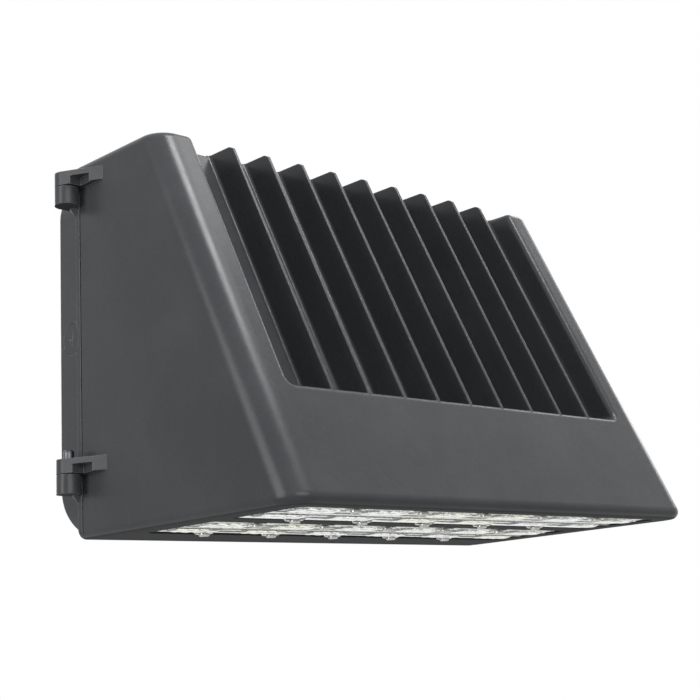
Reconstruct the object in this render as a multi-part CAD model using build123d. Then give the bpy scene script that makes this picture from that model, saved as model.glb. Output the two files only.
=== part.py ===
"""Full cut-off wall pack light: a hinged die-cast housing on a shallow back box.

Frame, in millimetres: +Z up, +X to the right seen from the front, +Y into the wall.
The wall plane is Y = 0, and the origin is the centre of the supply cable's entry in that plane.
The front housing is a wedge with a finned front slope.  It hangs on two lift-off hinges on its
left side, and two captive screws on its right side hold it shut.  Two LED modules lie in a
recess in its level underside.  A driver stands inside it on a bent steel bracket.
"""

import math
import os

from build123d import *

# ---------------------------------------------------------------- driving dimensions, mm
# Front housing
HOUSING_WIDTH = 360.0
HOUSING_HEIGHT = 244.0
TOP_DEPTH = 83.0  # parting plane to the slope's upper edge
BOTTOM_DEPTH = 201.0  # parting plane to the slope's lower edge
SIDE_DRAFT = 0.9  # degrees, each side wall leans inwards towards the front
WALL = 3.0  # thickness of the casting's walls
SLOPE_CORNER_RADIUS = 17.0  # between the slope and each side wall
TOP_EDGE_RADIUS = 6.0
BOTTOM_EDGE_RADIUS = 5.0
REAR_EDGE_RADIUS = 0.8
RIM_WIDTH = 9.0  # flange round the housing's open rear
RIM_DEPTH = 7.0
PARTING_GAP = 0.8  # between the housing's rim and the back box's flange

# Fins
RAIL_WIDTH = 31.0  # plain strip of slope on each side of the fins
LIP_HEIGHT = 71.0  # lower end of the channels above the underside
FIN_DEPTH = 21.2  # square to the slope
FIN_PITCH = 29.2
FIN_THICKNESS = 2.6
FIN_ROOT_RADIUS = 2.0
FIN_EDGE_RADIUS = 0.7
POCKET_RIM_RADIUS = 4.0
POCKET_CORNER_RADIUS = 4.5

# Hinges, on the left side
HINGE_RADIUS = 7.8  # of the arms' eyes and of the knuckles under them
HINGE_SIDE_GAP = 0.4  # between both and the side of the closed housing
HINGE_SETBACK = 2.0  # pin axis behind the parting plane
PIN_RADIUS = 3.4
PIN_CLEARANCE = 0.08  # radial, in the arm's eye
KNUCKLE_HEIGHT = 12.0
KNUCKLE_FOOT = 6.0  # height of the tapered foot between each knuckle and the pan
KNUCKLE_FOOT_RADIUS = 5.5
ARM_HEIGHT = 9.0
ARM_REACH = 27.3  # length of the arm on the housing's side wall
ARM_WEB = 3.4  # thickness of the arm along the side wall, behind its notch
ARM_BRIDGE = 3.6  # height of the arm over its notch
NOTCH_START = 8.4  # from the arm's front end
NOTCH_LENGTH = 11.6
HINGE_GAP = 0.5  # between arm and knuckle
UPPER_ARM_TOP = 8.7  # below the housing's top
LOWER_ARM_TOP = 48.6  # above the underside
LOWER_PIN_RISE = 6.0  # the lower pin stands out above its arm, so it is engaged first
UPPER_PIN_SINK = 1.2  # the upper pin ends inside its arm

# Closing screws, on the right side
EAR_RADIUS = 7.5
EAR_OFFSET = 7.0  # screw axis outside the housing's side
EAR_LENGTH = 20.0
EAR_FROM_TOP = 28.0
EAR_FROM_BOTTOM = 34.0
CLOSING_SCREW_RADIUS = 2.5
CLOSING_HEAD_RADIUS = 4.4
CLOSING_HEAD_HEIGHT = 4.0
CLOSING_THREAD = 9.0  # length in the back box
CLOSING_CLEARANCE = 0.35  # radial, in both ears
CLOSING_TRAVEL = 9.5  # how far the loosened screw backs out
COLLAR_RADIUS = 3.9
COLLAR_THICKNESS = 1.2
COLLAR_CLEARANCE = 0.4  # radial, in the ear's counterbore
HEX_SOCKET_RADIUS = 2.3

# Back box
BOX_DEPTH = 29.0
BOX_WALL = 3.0
BOX_INSET = 2.0  # pan inside the flange's outline
BOX_CORNER_RADIUS = 30.0
BOX_DRAFT = 1.0  # degrees
BOX_EDGE_RADIUS = 2.0
FLANGE_THICKNESS = 4.4
FLANGE_CORNER_RADIUS = 6.0
FLANGE_WIDTH = 12.0

# Wall side of the back box
CABLE_HOLE_RADIUS = 11.0
GROMMET_BORE_RADIUS = 7.0
GROMMET_LIP = 3.0
GROMMET_LIP_THICKNESS = 2.5
WALL_HOLE_RADIUS = 3.5
WALL_HOLE_SPACING_X = 280.0
WALL_HOLE_SPACING_Z = 150.0
WALL_BOSS_RADIUS = 8.5
WALL_BOSS_HEIGHT = 2.0
JUNCTION_SPACING = 88.9  # two slots for a junction box
JUNCTION_SLOT_LENGTH = 14.0
JUNCTION_SLOT_RADIUS = 2.6

# Conduit entries and their plugs
CONDUIT_RADIUS = 10.4
CONDUIT_SETBACK = 13.6  # behind the parting plane
SIDE_CONDUIT_Z = 7.0
CONDUIT_BOSS_LENGTH = 6.0
SPOTFACE_RADIUS = 11.0
SPOTFACE_DEPTH = 0.3
PLUG_LENGTH = 9.0
PLUG_CHAMFER = 0.4
PLUG_BORE_RADIUS = 7.5
PLUG_FLOOR = 3.2
PLUG_SLOT_LENGTH = 9.0
PLUG_SLOT_WIDTH = 1.6
PLUG_SLOT_DEPTH = 1.6
PLUG_TURN = 24.0  # degrees, where the thread stopped
THREAD_CLEARANCE = 0.1

# Gaskets
GASKET_WIDTH = 3.6
GASKET_GROOVE_WIDTH = 4.2
GASKET_GROOVE_DEPTH = 2.6
GASKET_CLEAR = 0.3  # from the back box's flange
LENS_GASKET_WIDTH = 3.0
LENS_GASKET_THICKNESS = 1.2

# LED recess and modules
RECESS_SIDE_RIM = 20.0
RECESS_FRONT_RIM = 17.0
RECESS_REAR_RIM = 36.0
RECESS_DEPTH = 9.0
RECESS_CORNER_RADIUS = 6.0
BASE_THICKNESS = 5.0
MODULE_END_GAP = 3.0
MODULE_EDGE_GAP = 3.5
MODULE_GAP = 22.0
RIB_CLEARANCE = 0.9  # each side of the rib between the modules, from their lugs
RIB_SINK = 0.6  # rib above the underside's plane
LENS_SINK = 0.8  # lens plate above the underside's plane
LENS_PLATE = 1.8
LENS_SKIRT = 2.4
LENS_CORNER_RADIUS = 5.0
LUG_RADIUS = 6.0
LUG_DROP = 1.0  # lugs stand out below the lens plate
LUG_PITCH = 54.0
LUG_OUTSET = 3.4  # lug axis inside the plate's edge
LUG_SHIFT = -8.5  # the lugs sit off the middle, away from the cable end
LUG_STAGGER = 5.0  # between the two modules, so that facing lugs pass each other
LUG_END_INSET = 28.0
LENS_SCREW_RADIUS = 1.5
LENS_SCREW_HEAD_RADIUS = 3.3
LENS_SCREW_HEAD_HEIGHT = 1.6
LENS_SCREW_CLEARANCE = 0.25
SMALL_SLOT = 0.8  # width of the driver slots in small screws
BUBBLE_LENGTH = 36.0
BUBBLE_MARGIN = 0.5  # between a raised optic and the heads of the lens screws
BUBBLE_HEIGHT = 1.5
BUBBLE_ROOT = 0.4  # how far a raised optic reaches into the plate
BUBBLE_EDGE_RADIUS = 1.3
BOARD_THICKNESS = 1.6
BOARD_GAP = 0.6  # board to the lens's skirt
LED_SIZE = 3.0
LED_HEIGHT = 0.7
LED_PITCH = 9.0
LEDS_PER_BUBBLE = 4

# Driver and its bracket
BRACKET_THICKNESS = 1.5
BRACKET_WIDTH = 232.0
BRACKET_TOP = 178.0  # above the underside
BRACKET_FOOT = 26.0
BRACKET_BEND = 2.0
BRACKET_DEPTH = 46.0  # behind the parting plane
BRACKET_PAD = 2.0
BRACKET_POST_X = 92.0
BRACKET_POST_FROM_TOP = 12.0
POST_ROOT = 3.0  # how far a post's middle reaches past the wall's inner face, before it is trimmed
POST_RADIUS = 5.5
FOOT_SCREW_X = 100.0
DRIVER_LENGTH = 172.0
DRIVER_WIDTH = 66.0
DRIVER_HEIGHT = 35.0
DRIVER_RADIUS = 4.0
DRIVER_CENTRE = 118.0  # above the underside
DRIVER_CAP = 6.0
GROOVE_SIZE = 0.8  # depth and half width of each groove in the case
DRIVER_EAR_LENGTH = 11.0
DRIVER_EAR_THICKNESS = 3.0
DRIVER_EAR_WIDTH = 22.0
M4_RADIUS = 2.0
M4_HEAD_RADIUS = 3.9
M4_HEAD_HEIGHT = 2.6
M4_ENGAGEMENT = 7.0
M4_CLEARANCE = 0.3  # radial, in sheet and ears
M4_SLOT = 1.0
NUT_RADIUS = 4.0
NUT_HEIGHT = 3.2

# Terminal block and cables
BLOCK_LENGTH = 44.0
BLOCK_HEIGHT = 20.0
BLOCK_DEPTH = 16.0
BLOCK_CENTRE_X = -62.0
BLOCK_CENTRE_Z = 46.0  # above the underside
BLOCK_POLES = 3
BLOCK_ENTRY_RADIUS = 2.4
BLOCK_ENTRY_DEPTH = 6.0
BLOCK_SCREW_RADIUS = 2.6
BLOCK_WELL = 3.0  # depth of the wells over the clamping screws
BLOCK_FOOT = 4.0  # thickness of each fixing foot, and its half length
BLOCK_EDGE_RADIUS = 1.5
BLOCK_CLEARANCE = 0.2  # radial, round its screws
LEAD_RADIUS = 1.3
LEAD_SPACING = 5.0
LEAD_LOOP = 22.0  # how far the innermost lead swings out beyond the driver's end
LEAD_BELOW_DRIVER = 6.0
CABLE_RADIUS = 2.6
CABLE_OUTLET_SPACING = 20.0  # between the two LED cables at the driver's end
CABLE_RUN_OUT = 28.0  # straight run of each LED cable from the driver's end
CABLE_GROMMET_RADIUS = 5.5
CABLE_GROMMET_LIP = 1.5
CABLE_INSET = 11.0  # cable hole from the module's end
FRONT_CABLE_RISE = 34.0  # straight up from the board
REAR_CABLE_RISE = 44.0
CABLE_OUTLET_OFFSET = 4.0  # outlets behind the middle of the driver

# Earth screw on the back box
EARTH_X = -60.0
EARTH_Z = 60.0
EARTH_BOSS_RADIUS = 6.0
EARTH_BOSS_HEIGHT = 6.0
EARTH_WASHER_THICKNESS = 1.0

# ---------------------------------------------------------------- derived places
TOP_Z = HOUSING_HEIGHT / 2
BOTTOM_Z = -HOUSING_HEIGHT / 2
PARTING_Y = -BOX_DEPTH
HOUSING_REAR_Y = PARTING_Y - PARTING_GAP / 2
FLANGE_FRONT_Y = PARTING_Y + PARTING_GAP / 2
HALF_WIDTH = HOUSING_WIDTH / 2
SLOPE_ANGLE = math.atan2(BOTTOM_DEPTH - TOP_DEPTH, HOUSING_HEIGHT)
COS_SLOPE = math.cos(SLOPE_ANGLE)
POCKET_HALF = HALF_WIDTH - RAIL_WIDTH
FIN_COUNT = max(1, int(2 * POCKET_HALF / FIN_PITCH) - 1)
HINGE_X = -HALF_WIDTH - HINGE_SIDE_GAP - HINGE_RADIUS
HINGE_Y = PARTING_Y + HINGE_SETBACK
EAR_X = HALF_WIDTH + EAR_OFFSET
RECESS_HALF = HALF_WIDTH - RECESS_SIDE_RIM
RECESS_FRONT_Y = PARTING_Y - BOTTOM_DEPTH + RECESS_FRONT_RIM
RECESS_REAR_Y = PARTING_Y - RECESS_REAR_RIM
SEAT_Z = BOTTOM_Z + RECESS_DEPTH
BASE_TOP_Z = SEAT_Z + BASE_THICKNESS
MODULE_HALF = RECESS_HALF - MODULE_END_GAP
MODULE_WIDTH = (RECESS_REAR_Y - RECESS_FRONT_Y - MODULE_GAP) / 2 - MODULE_EDGE_GAP
MODULE_CENTRE_Y = (RECESS_FRONT_Y + RECESS_REAR_Y) / 2
BUBBLE_ROW_SPACING = MODULE_WIDTH / 2
BUBBLE_WIDTH = MODULE_WIDTH / 2 - 2 * (LUG_OUTSET + LENS_SCREW_HEAD_RADIUS + BUBBLE_MARGIN)
LENS_OUTER_Z = BOTTOM_Z + LENS_SINK
LUG_FACE_Z = LENS_OUTER_Z - LUG_DROP
LENS_REST_Z = SEAT_Z - LENS_GASKET_THICKNESS
BOARD_Z = SEAT_Z - BOARD_THICKNESS
BRACKET_Y = PARTING_Y - BRACKET_DEPTH  # bracket's rear face, which carries the driver
DRIVER_Z = BOTTOM_Z + DRIVER_CENTRE
CABLE_HOLE_X = MODULE_HALF - LENS_SKIRT - CABLE_INSET
HINGES = {
    "upper": (TOP_Z - UPPER_ARM_TOP, -UPPER_PIN_SINK),
    "lower": (BOTTOM_Z + LOWER_ARM_TOP, LOWER_PIN_RISE),
}
EARS = {"upper": TOP_Z - EAR_FROM_TOP, "lower": BOTTOM_Z + EAR_FROM_BOTTOM}
CONDUIT_Y = PARTING_Y + CONDUIT_SETBACK
BIG = 1000.0


# ---------------------------------------------------------------- helpers
def slope_y(z, depth=0.0):
    """Y of the slope's outer face at height z, or of the plane that lies depth inside it."""
    share = (z - BOTTOM_Z) / HOUSING_HEIGHT
    return PARTING_Y - BOTTOM_DEPTH + (BOTTOM_DEPTH - TOP_DEPTH) * share + depth / COS_SLOPE


def side_x(y, inset=0.0):
    """Half width of the housing at y, less an inset."""
    return HALF_WIDTH - inset - math.tan(math.radians(SIDE_DRAFT)) * (PARTING_Y - y)


def prism_x(points, x_from, x_to):
    """Prism along X from a polygon of (y, z) points."""
    outline = Polyline(*[(x_from, y, z) for y, z in points], close=True)
    return extrude(make_face(outline), amount=x_to - x_from, dir=(1, 0, 0))


def prism_z(points, z_from, z_to):
    """Prism along Z from a polygon of (x, y) points."""
    outline = Polyline(*[(x, y, z_from) for x, y in points], close=True)
    return extrude(make_face(outline), amount=z_to - z_from, dir=(0, 0, 1))


def block(x, y, z):
    """Box between (low, high) pairs."""
    size = (x[1] - x[0], y[1] - y[0], z[1] - z[0])
    return Pos((x[0] + x[1]) / 2, (y[0] + y[1]) / 2, (z[0] + z[1]) / 2) * Box(*size)


def rod(start, direction, radius, length):
    """Cylinder from start along direction."""
    return extrude(Plane(origin=start, z_dir=direction) * Circle(radius), amount=length)


def slab_y(width, height, radius, y_from, y_to, taper=0.0):
    """Rounded rectangle about the Y axis, from y_from to y_to."""
    direction = 1 if y_to > y_from else -1
    plane = Plane(origin=(0, y_from, 0), x_dir=(1, 0, 0), z_dir=(0, direction, 0))
    return extrude(plane * RectangleRounded(width, height, radius), amount=abs(y_to - y_from), taper=taper)


def slab_z(width, depth, radius, centre, z_from, z_to):
    """Rounded rectangle about a vertical line, from z_from to z_to."""
    plane = Plane(origin=(centre[0], centre[1], z_from))
    return extrude(plane * RectangleRounded(width, depth, radius), amount=z_to - z_from)


def tube(points, radii, radius):
    """Round cable along straight runs joined by arcs."""
    path = FilletPolyline(*points, radius=radii)
    start = Vector(*points[0])
    section = Plane(origin=start, z_dir=Vector(*points[1]) - start) * Circle(radius)
    return sweep(section, path=path)


def corner_radii(points):
    """Arc radius at each inner point: as large as its two runs allow."""
    radii = []
    for before, here, after in zip(points, points[1:], points[2:]):
        run_in = Vector(*here) - Vector(*before)
        run_out = Vector(*after) - Vector(*here)
        half_turn = math.radians(run_in.get_angle(run_out) / 2)
        radii.append(0.45 * min(run_in.length, run_out.length) / math.tan(half_turn))
    return radii


# ---------------------------------------------------------------- front housing
def wedge(inset, rear_y):
    """The housing's outer shape, or that shape inset by a wall."""
    low, high = BOTTOM_Z + inset, TOP_Z - inset
    profile = [(rear_y, low), (slope_y(low, inset), low), (slope_y(high, inset), high), (rear_y, high)]
    front_y = slope_y(BOTTOM_Z) - 1
    plan = [
        (-side_x(rear_y, inset), rear_y),
        (side_x(rear_y, inset), rear_y),
        (side_x(front_y, inset), front_y),
        (-side_x(front_y, inset), front_y),
    ]
    shape = prism_x(profile, -BIG, BIG) & prism_z(plan, low, high)
    slanted = [e for e in shape.edges() if e.bounding_box().size.Y > 20 and e.bounding_box().size.Z > 20]
    shape = fillet(slanted, SLOPE_CORNER_RADIUS - inset)
    for level, radius in ((low, BOTTOM_EDGE_RADIUS), (high, TOP_EDGE_RADIUS)):
        rim = [
            e
            for e in shape.edges()
            if abs(e.bounding_box().min.Z - level) < 0.01
            and abs(e.bounding_box().max.Z - level) < 0.01
            and e.center().Y < rear_y - 1
        ]
        shape = fillet(rim, max(radius - inset, 0.5))
    return shape


def fin_pocket(grow):
    """Space that the channels are cut from, grown by a wall for the cavity behind it."""
    floor, end = FIN_DEPTH + grow, BOTTOM_Z + LIP_HEIGHT - grow
    above = TOP_Z + 20
    profile = [
        (slope_y(end) - 30, end),
        (slope_y(end, floor), end),
        (slope_y(above, floor), above),
        (slope_y(above) - 30, above),
    ]
    half = POCKET_HALF + grow
    tool = prism_x(profile, -half, half)
    foot = slope_y(end, floor)
    crease = [e for e in tool.edges() if abs(e.center().Y - foot) < 0.01 and abs(e.center().Z - end) < 0.01]
    tool = fillet(crease, POCKET_CORNER_RADIUS + 2)
    sides = [
        e
        for e in tool.edges()
        if abs(abs(e.center().X) - half) < 0.01
        and e.center().Y > slope_y(e.center().Z) + 1
        and e.center().Z < above - 1
    ]
    return fillet(sides, POCKET_CORNER_RADIUS)


def fin(x, outside):
    """One fin, with flared roots and rounded front edges, trimmed to the housing's outside."""
    up = Vector(0, math.sin(SLOPE_ANGLE), math.cos(SLOPE_ANGLE))
    start = Vector(x, slope_y(BOTTOM_Z), BOTTOM_Z)
    plane = Plane(origin=start, x_dir=(1, 0, 0), z_dir=up)
    half, root = FIN_THICKNESS / 2, FIN_THICKNESS / 2 + FIN_ROOT_RADIUS + 0.05
    depth = FIN_DEPTH
    section = make_face(
        Polyline(
            (-half, 0), (half, 0), (half, depth), (root, depth), (root, depth + 1),
            (-root, depth + 1), (-root, depth), (-half, depth), close=True,
        )
    )
    front = [v for v in section.vertices() if abs(v.Y) < 0.01]
    section = fillet(front, FIN_EDGE_RADIUS)
    roots = [v for v in section.vertices() if abs(v.Y - depth) < 0.01 and abs(abs(v.X) - half) < 0.01]
    section = fillet(roots, FIN_ROOT_RADIUS)
    length = HOUSING_HEIGHT / COS_SLOPE + 40
    bar = extrude(plane * section, amount=length)
    lip = BOTTOM_Z + LIP_HEIGHT - 1
    return bar & outside & block((x - 20, x + 20), (-BIG, 0), (lip, TOP_Z + 1))


def hinge_arm(top_z):
    """Arm on the housing's side: an eye for the pin, an oblique outer face and a notch under it."""
    low = top_z - ARM_HEIGHT
    root_y = PARTING_Y - ARM_REACH
    wall_x = -side_x(root_y)
    to_eye = Vector(HINGE_X - wall_x, HINGE_Y - root_y)
    bearing = math.atan2(to_eye.Y, to_eye.X) + math.asin(HINGE_RADIUS / to_eye.length)
    run = math.sqrt(to_eye.length**2 - HINGE_RADIUS**2)
    tangent = (wall_x + run * math.cos(bearing), root_y + run * math.sin(bearing))
    inside_x = -HALF_WIDTH + WALL / 2
    plan = [
        (wall_x, root_y),
        tangent,
        (HINGE_X, HINGE_Y),
        (-HALF_WIDTH, HOUSING_REAR_Y),
        (inside_x, HOUSING_REAR_Y),
        (inside_x, root_y),
    ]
    arm = prism_z(plan, low, top_z) + rod((HINGE_X, HINGE_Y, low), (0, 0, 1), HINGE_RADIUS, ARM_HEIGHT)
    notch_y = (root_y + NOTCH_START, root_y + NOTCH_START + NOTCH_LENGTH)
    notch = block((HINGE_X - 20, -HALF_WIDTH - ARM_WEB), notch_y, (low - 1, top_z - ARM_BRIDGE))
    return arm - notch


def hinge_eye_bore(top_z):
    """Hole for the pin through the arm."""
    below = (HINGE_X, HINGE_Y, top_z - ARM_HEIGHT - 1)
    return rod(below, (0, 0, 1), PIN_RADIUS + PIN_CLEARANCE, ARM_HEIGHT + 2)


def ear(z, y_from, y_to):
    """Half-round boss for a closing screw on the right side, from y_from to y_to."""
    length = y_to - y_from
    boss = rod((EAR_X, y_from, z), (0, 1, 0), EAR_RADIUS, length)
    web = block((HALF_WIDTH - 5, EAR_X), (y_from, y_to), (z - EAR_RADIUS, z + EAR_RADIUS))
    return boss + web


def lug_columns(shift):
    """X of the lens lugs along one edge of a module, evenly spaced about the shift."""
    reach = MODULE_HALF - LUG_END_INSET
    count = int(2 * reach / LUG_PITCH) + 1
    return [(k - (count - 1) / 2) * LUG_PITCH + shift for k in range(count)]


def module_places():
    """Each LED module: its centre's Y, and its lugs as (x, y)."""
    places = {}
    for name, side in (("front", -1), ("rear", 1)):
        centre = MODULE_CENTRE_Y + side * (MODULE_WIDTH + MODULE_GAP) / 2
        edge = MODULE_WIDTH / 2 - LUG_OUTSET
        columns = lug_columns(LUG_SHIFT - side * LUG_STAGGER / 2)
        places[name] = (centre, [(x, centre + row * edge) for row in (-1, 1) for x in columns])
    return places


MODULES = module_places()


def bracket_holes():
    """Screw places of the bracket: posts on its upright as (x, z), and foot screws as (x, y)."""
    post_z = BOTTOM_Z + BRACKET_TOP - BRACKET_POST_FROM_TOP
    foot_y = BRACKET_Y - BRACKET_THICKNESS - BRACKET_FOOT / 2
    return [(s * BRACKET_POST_X, post_z) for s in (-1, 1)], [(s * FOOT_SCREW_X, foot_y) for s in (-1, 1)]


POSTS, FOOT_HOLES = bracket_holes()


def make_front_housing():
    outside = wedge(0, HOUSING_REAR_Y)
    rear_edges = [e for e in outside.edges() if abs(e.bounding_box().min.Y - HOUSING_REAR_Y) < 0.01]
    body = fillet(rear_edges, REAR_EDGE_RADIUS)
    body -= fin_pocket(0)
    rim = [
        e
        for e in body.edges()
        if abs(e.center().X) < POCKET_HALF + 0.01
        and e.center().Z > BOTTOM_Z + LIP_HEIGHT - 1
        and abs(e.center().Y - slope_y(e.center().Z)) < 0.6
    ]
    body = fillet(rim, POCKET_RIM_RADIUS)
    for k in range(FIN_COUNT):
        body += fin((k - (FIN_COUNT - 1) / 2) * FIN_PITCH, outside)

    cavity = wedge(WALL, HOUSING_REAR_Y + 1) - fin_pocket(WALL)
    cavity -= block((-BIG, BIG), (-BIG, RECESS_REAR_Y + WALL), (BOTTOM_Z - 1, BASE_TOP_Z))
    opening_width, opening_height = HOUSING_WIDTH - 2 * RIM_WIDTH, HOUSING_HEIGHT - 2 * RIM_WIDTH
    rim_ring = block((-BIG, BIG), (HOUSING_REAR_Y - RIM_DEPTH, HOUSING_REAR_Y + 2), (-BIG, BIG)) - slab_y(
        opening_width, opening_height, RIM_WIDTH, HOUSING_REAR_Y - RIM_DEPTH - 1, HOUSING_REAR_Y + 3
    )
    cavity -= rim_ring
    body -= cavity

    post_end = BRACKET_Y - BRACKET_THICKNESS
    for x, z in POSTS:
        root = slope_y(z, FIN_DEPTH + WALL) - POST_ROOT
        post = rod((x, root, z), (0, 1, 0), POST_RADIUS, post_end - root)
        body += post - fin_pocket(WALL / 2)
        body -= rod((x, post_end + 1, z), (0, -1, 0), M4_RADIUS, M4_ENGAGEMENT + 2)
    for x, y in FOOT_HOLES:
        body += rod((x, y, BASE_TOP_Z - 1), (0, 0, 1), POST_RADIUS, BRACKET_PAD + 1)

    for top_z, _ in HINGES.values():
        body += hinge_arm(top_z)
        body -= hinge_eye_bore(top_z)
    for z in EARS.values():
        body += ear(z, HOUSING_REAR_Y - EAR_LENGTH, HOUSING_REAR_Y)
        bore = CLOSING_SCREW_RADIUS + CLOSING_CLEARANCE
        body -= rod((EAR_X, HOUSING_REAR_Y - EAR_LENGTH - 1, z), (0, 1, 0), bore, EAR_LENGTH + 2)
        room = COLLAR_THICKNESS + CLOSING_TRAVEL + 0.5
        body -= rod((EAR_X, HOUSING_REAR_Y - room, z), (0, 1, 0), COLLAR_RADIUS + COLLAR_CLEARANCE, room + 1)

    recess_size = (2 * RECESS_HALF, RECESS_REAR_Y - RECESS_FRONT_Y)
    body -= slab_z(*recess_size, RECESS_CORNER_RADIUS, (0, MODULE_CENTRE_Y), BOTTOM_Z - 1, SEAT_Z)
    rib_half = MODULE_GAP / 2 - (LUG_RADIUS - LUG_OUTSET) - RIB_CLEARANCE
    rib_y = (MODULE_CENTRE_Y - rib_half, MODULE_CENTRE_Y + rib_half)
    body += block((-RECESS_HALF - 1, RECESS_HALF + 1), rib_y, (BOTTOM_Z + RIB_SINK, SEAT_Z + 1))
    for centre, lugs in MODULES.values():
        for x, y in lugs:
            body -= rod((x, y, SEAT_Z - 1), (0, 0, 1), LENS_SCREW_RADIUS, BASE_THICKNESS)
        body -= rod((CABLE_HOLE_X, centre, SEAT_Z - 1), (0, 0, 1), CABLE_GROMMET_RADIUS, BASE_THICKNESS + 2)
    for x, y in FOOT_HOLES:
        body -= rod((x, y, BASE_TOP_Z + BRACKET_PAD + 1), (0, 0, -1), M4_RADIUS, M4_ENGAGEMENT - 1)

    return body - ring_y(GASKET_GROOVE_WIDTH, HOUSING_REAR_Y + 1)


def ring_y(width, y_to):
    """Rectangular ring along the middle of the housing's rim, from the groove's floor to y_to."""
    y_from = HOUSING_REAR_Y - GASKET_GROOVE_DEPTH

    def outline(offset):
        radius = max(TOP_EDGE_RADIUS - offset + RIM_WIDTH / 2, 1)
        return slab_y(HOUSING_WIDTH - 2 * offset, HOUSING_HEIGHT - 2 * offset, radius, y_from, y_to)

    return outline(RIM_WIDTH / 2 - width / 2) - outline(RIM_WIDTH / 2 + width / 2)


def make_housing_gasket():
    return ring_y(GASKET_WIDTH, FLANGE_FRONT_Y - GASKET_CLEAR)


# ---------------------------------------------------------------- LED modules
def lens(centre, lugs):
    """Clear cover of one module: plate, skirt, lugs, and two rows of raised optics."""
    length = 2 * MODULE_HALF
    shape = slab_z(length, MODULE_WIDTH, LENS_CORNER_RADIUS, (0, centre), LENS_OUTER_Z, LENS_REST_Z)
    for x, y in lugs:
        shape += rod((x, y, LUG_FACE_Z), (0, 0, 1), LUG_RADIUS, LENS_REST_Z - LUG_FACE_Z)
    inner = (length - 2 * LENS_SKIRT, MODULE_WIDTH - 2 * LENS_SKIRT)
    plate_z = LENS_OUTER_Z + LENS_PLATE
    hollow = slab_z(*inner, LENS_CORNER_RADIUS - LENS_SKIRT, (0, centre), plate_z, LENS_REST_Z + 1)
    for x, y in lugs:
        hollow -= rod((x, y, LENS_OUTER_Z), (0, 0, 1), LUG_RADIUS, LENS_REST_Z)
    shape -= hollow
    for x, y in bubble_places(centre):
        shape += bubble(x, y)
    bore = LENS_SCREW_RADIUS + LENS_SCREW_CLEARANCE
    for x, y in lugs:
        shape -= rod((x, y, LUG_FACE_Z - 1), (0, 0, 1), bore, RECESS_DEPTH + 2)
    return shape


def bubble_places(centre):
    """Centres of the raised optics of one module."""
    count = 2 * max(1, int((MODULE_HALF - LENS_SKIRT - BUBBLE_LENGTH / 2) / LUG_PITCH + 0.5))
    columns = [(k - (count - 1) / 2) * LUG_PITCH for k in range(count)]
    rows = [centre - BUBBLE_ROW_SPACING / 2, centre + BUBBLE_ROW_SPACING / 2]
    return [(x, y) for y in rows for x in columns]


def bubble(x, y):
    """Slot-shaped raised optic with rounded edges."""
    plane = Plane(origin=(x, y, LENS_OUTER_Z + BUBBLE_ROOT), x_dir=(1, 0, 0), z_dir=(0, 0, -1))
    pad = extrude(plane * SlotOverall(BUBBLE_LENGTH, BUBBLE_WIDTH), amount=BUBBLE_HEIGHT + BUBBLE_ROOT)
    top = [e for e in pad.edges() if abs(e.center().Z - (LENS_OUTER_Z - BUBBLE_HEIGHT)) < 0.01]
    return fillet(top, BUBBLE_EDGE_RADIUS)


def lens_gasket(centre, lugs):
    """Silicone ring between a lens's skirt and the recess's floor."""
    outer = slab_z(2 * MODULE_HALF, MODULE_WIDTH, LENS_CORNER_RADIUS, (0, centre), LENS_REST_Z, SEAT_Z)
    size = (2 * MODULE_HALF - 2 * LENS_GASKET_WIDTH, MODULE_WIDTH - 2 * LENS_GASKET_WIDTH)
    ring = outer - slab_z(*size, LENS_CORNER_RADIUS / 2, (0, centre), LENS_REST_Z - 1, SEAT_Z + 1)
    bore = LENS_SCREW_RADIUS + LENS_SCREW_CLEARANCE
    for x, y in lugs:
        ring += rod((x, y, LENS_REST_Z), (0, 0, 1), LUG_RADIUS, LENS_GASKET_THICKNESS)
        ring -= rod((x, y, LENS_REST_Z - 1), (0, 0, 1), bore, LENS_GASKET_THICKNESS + 2)
    return ring


def led_board(centre, lugs):
    """Metal-core board inside the gasket, with a hole for its cable and room round the lugs."""
    inset = LENS_GASKET_WIDTH + BOARD_GAP
    size = (2 * MODULE_HALF - 2 * inset, MODULE_WIDTH - 2 * inset)
    board = slab_z(*size, LENS_CORNER_RADIUS / 2, (0, centre), BOARD_Z, SEAT_Z)
    for x, y in lugs:
        board -= rod((x, y, BOARD_Z - 1), (0, 0, 1), LUG_RADIUS + BOARD_GAP, BOARD_THICKNESS + 2)
    hole = CABLE_GROMMET_RADIUS + CABLE_GROMMET_LIP + 0.3
    return board - rod((CABLE_HOLE_X, centre, BOARD_Z - 1), (0, 0, 1), hole, BOARD_THICKNESS + 2)


def led_chips(centre):
    """Surface-mounted LEDs in line under each raised optic."""
    chips = []
    for x, y in bubble_places(centre):
        for k in range(LEDS_PER_BUBBLE):
            at = x + (k - (LEDS_PER_BUBBLE - 1) / 2) * LED_PITCH
            chips.append(Pos(at, y, BOARD_Z - LED_HEIGHT / 2) * Box(LED_SIZE, LED_SIZE, LED_HEIGHT))
    return Compound(children=chips)


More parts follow.
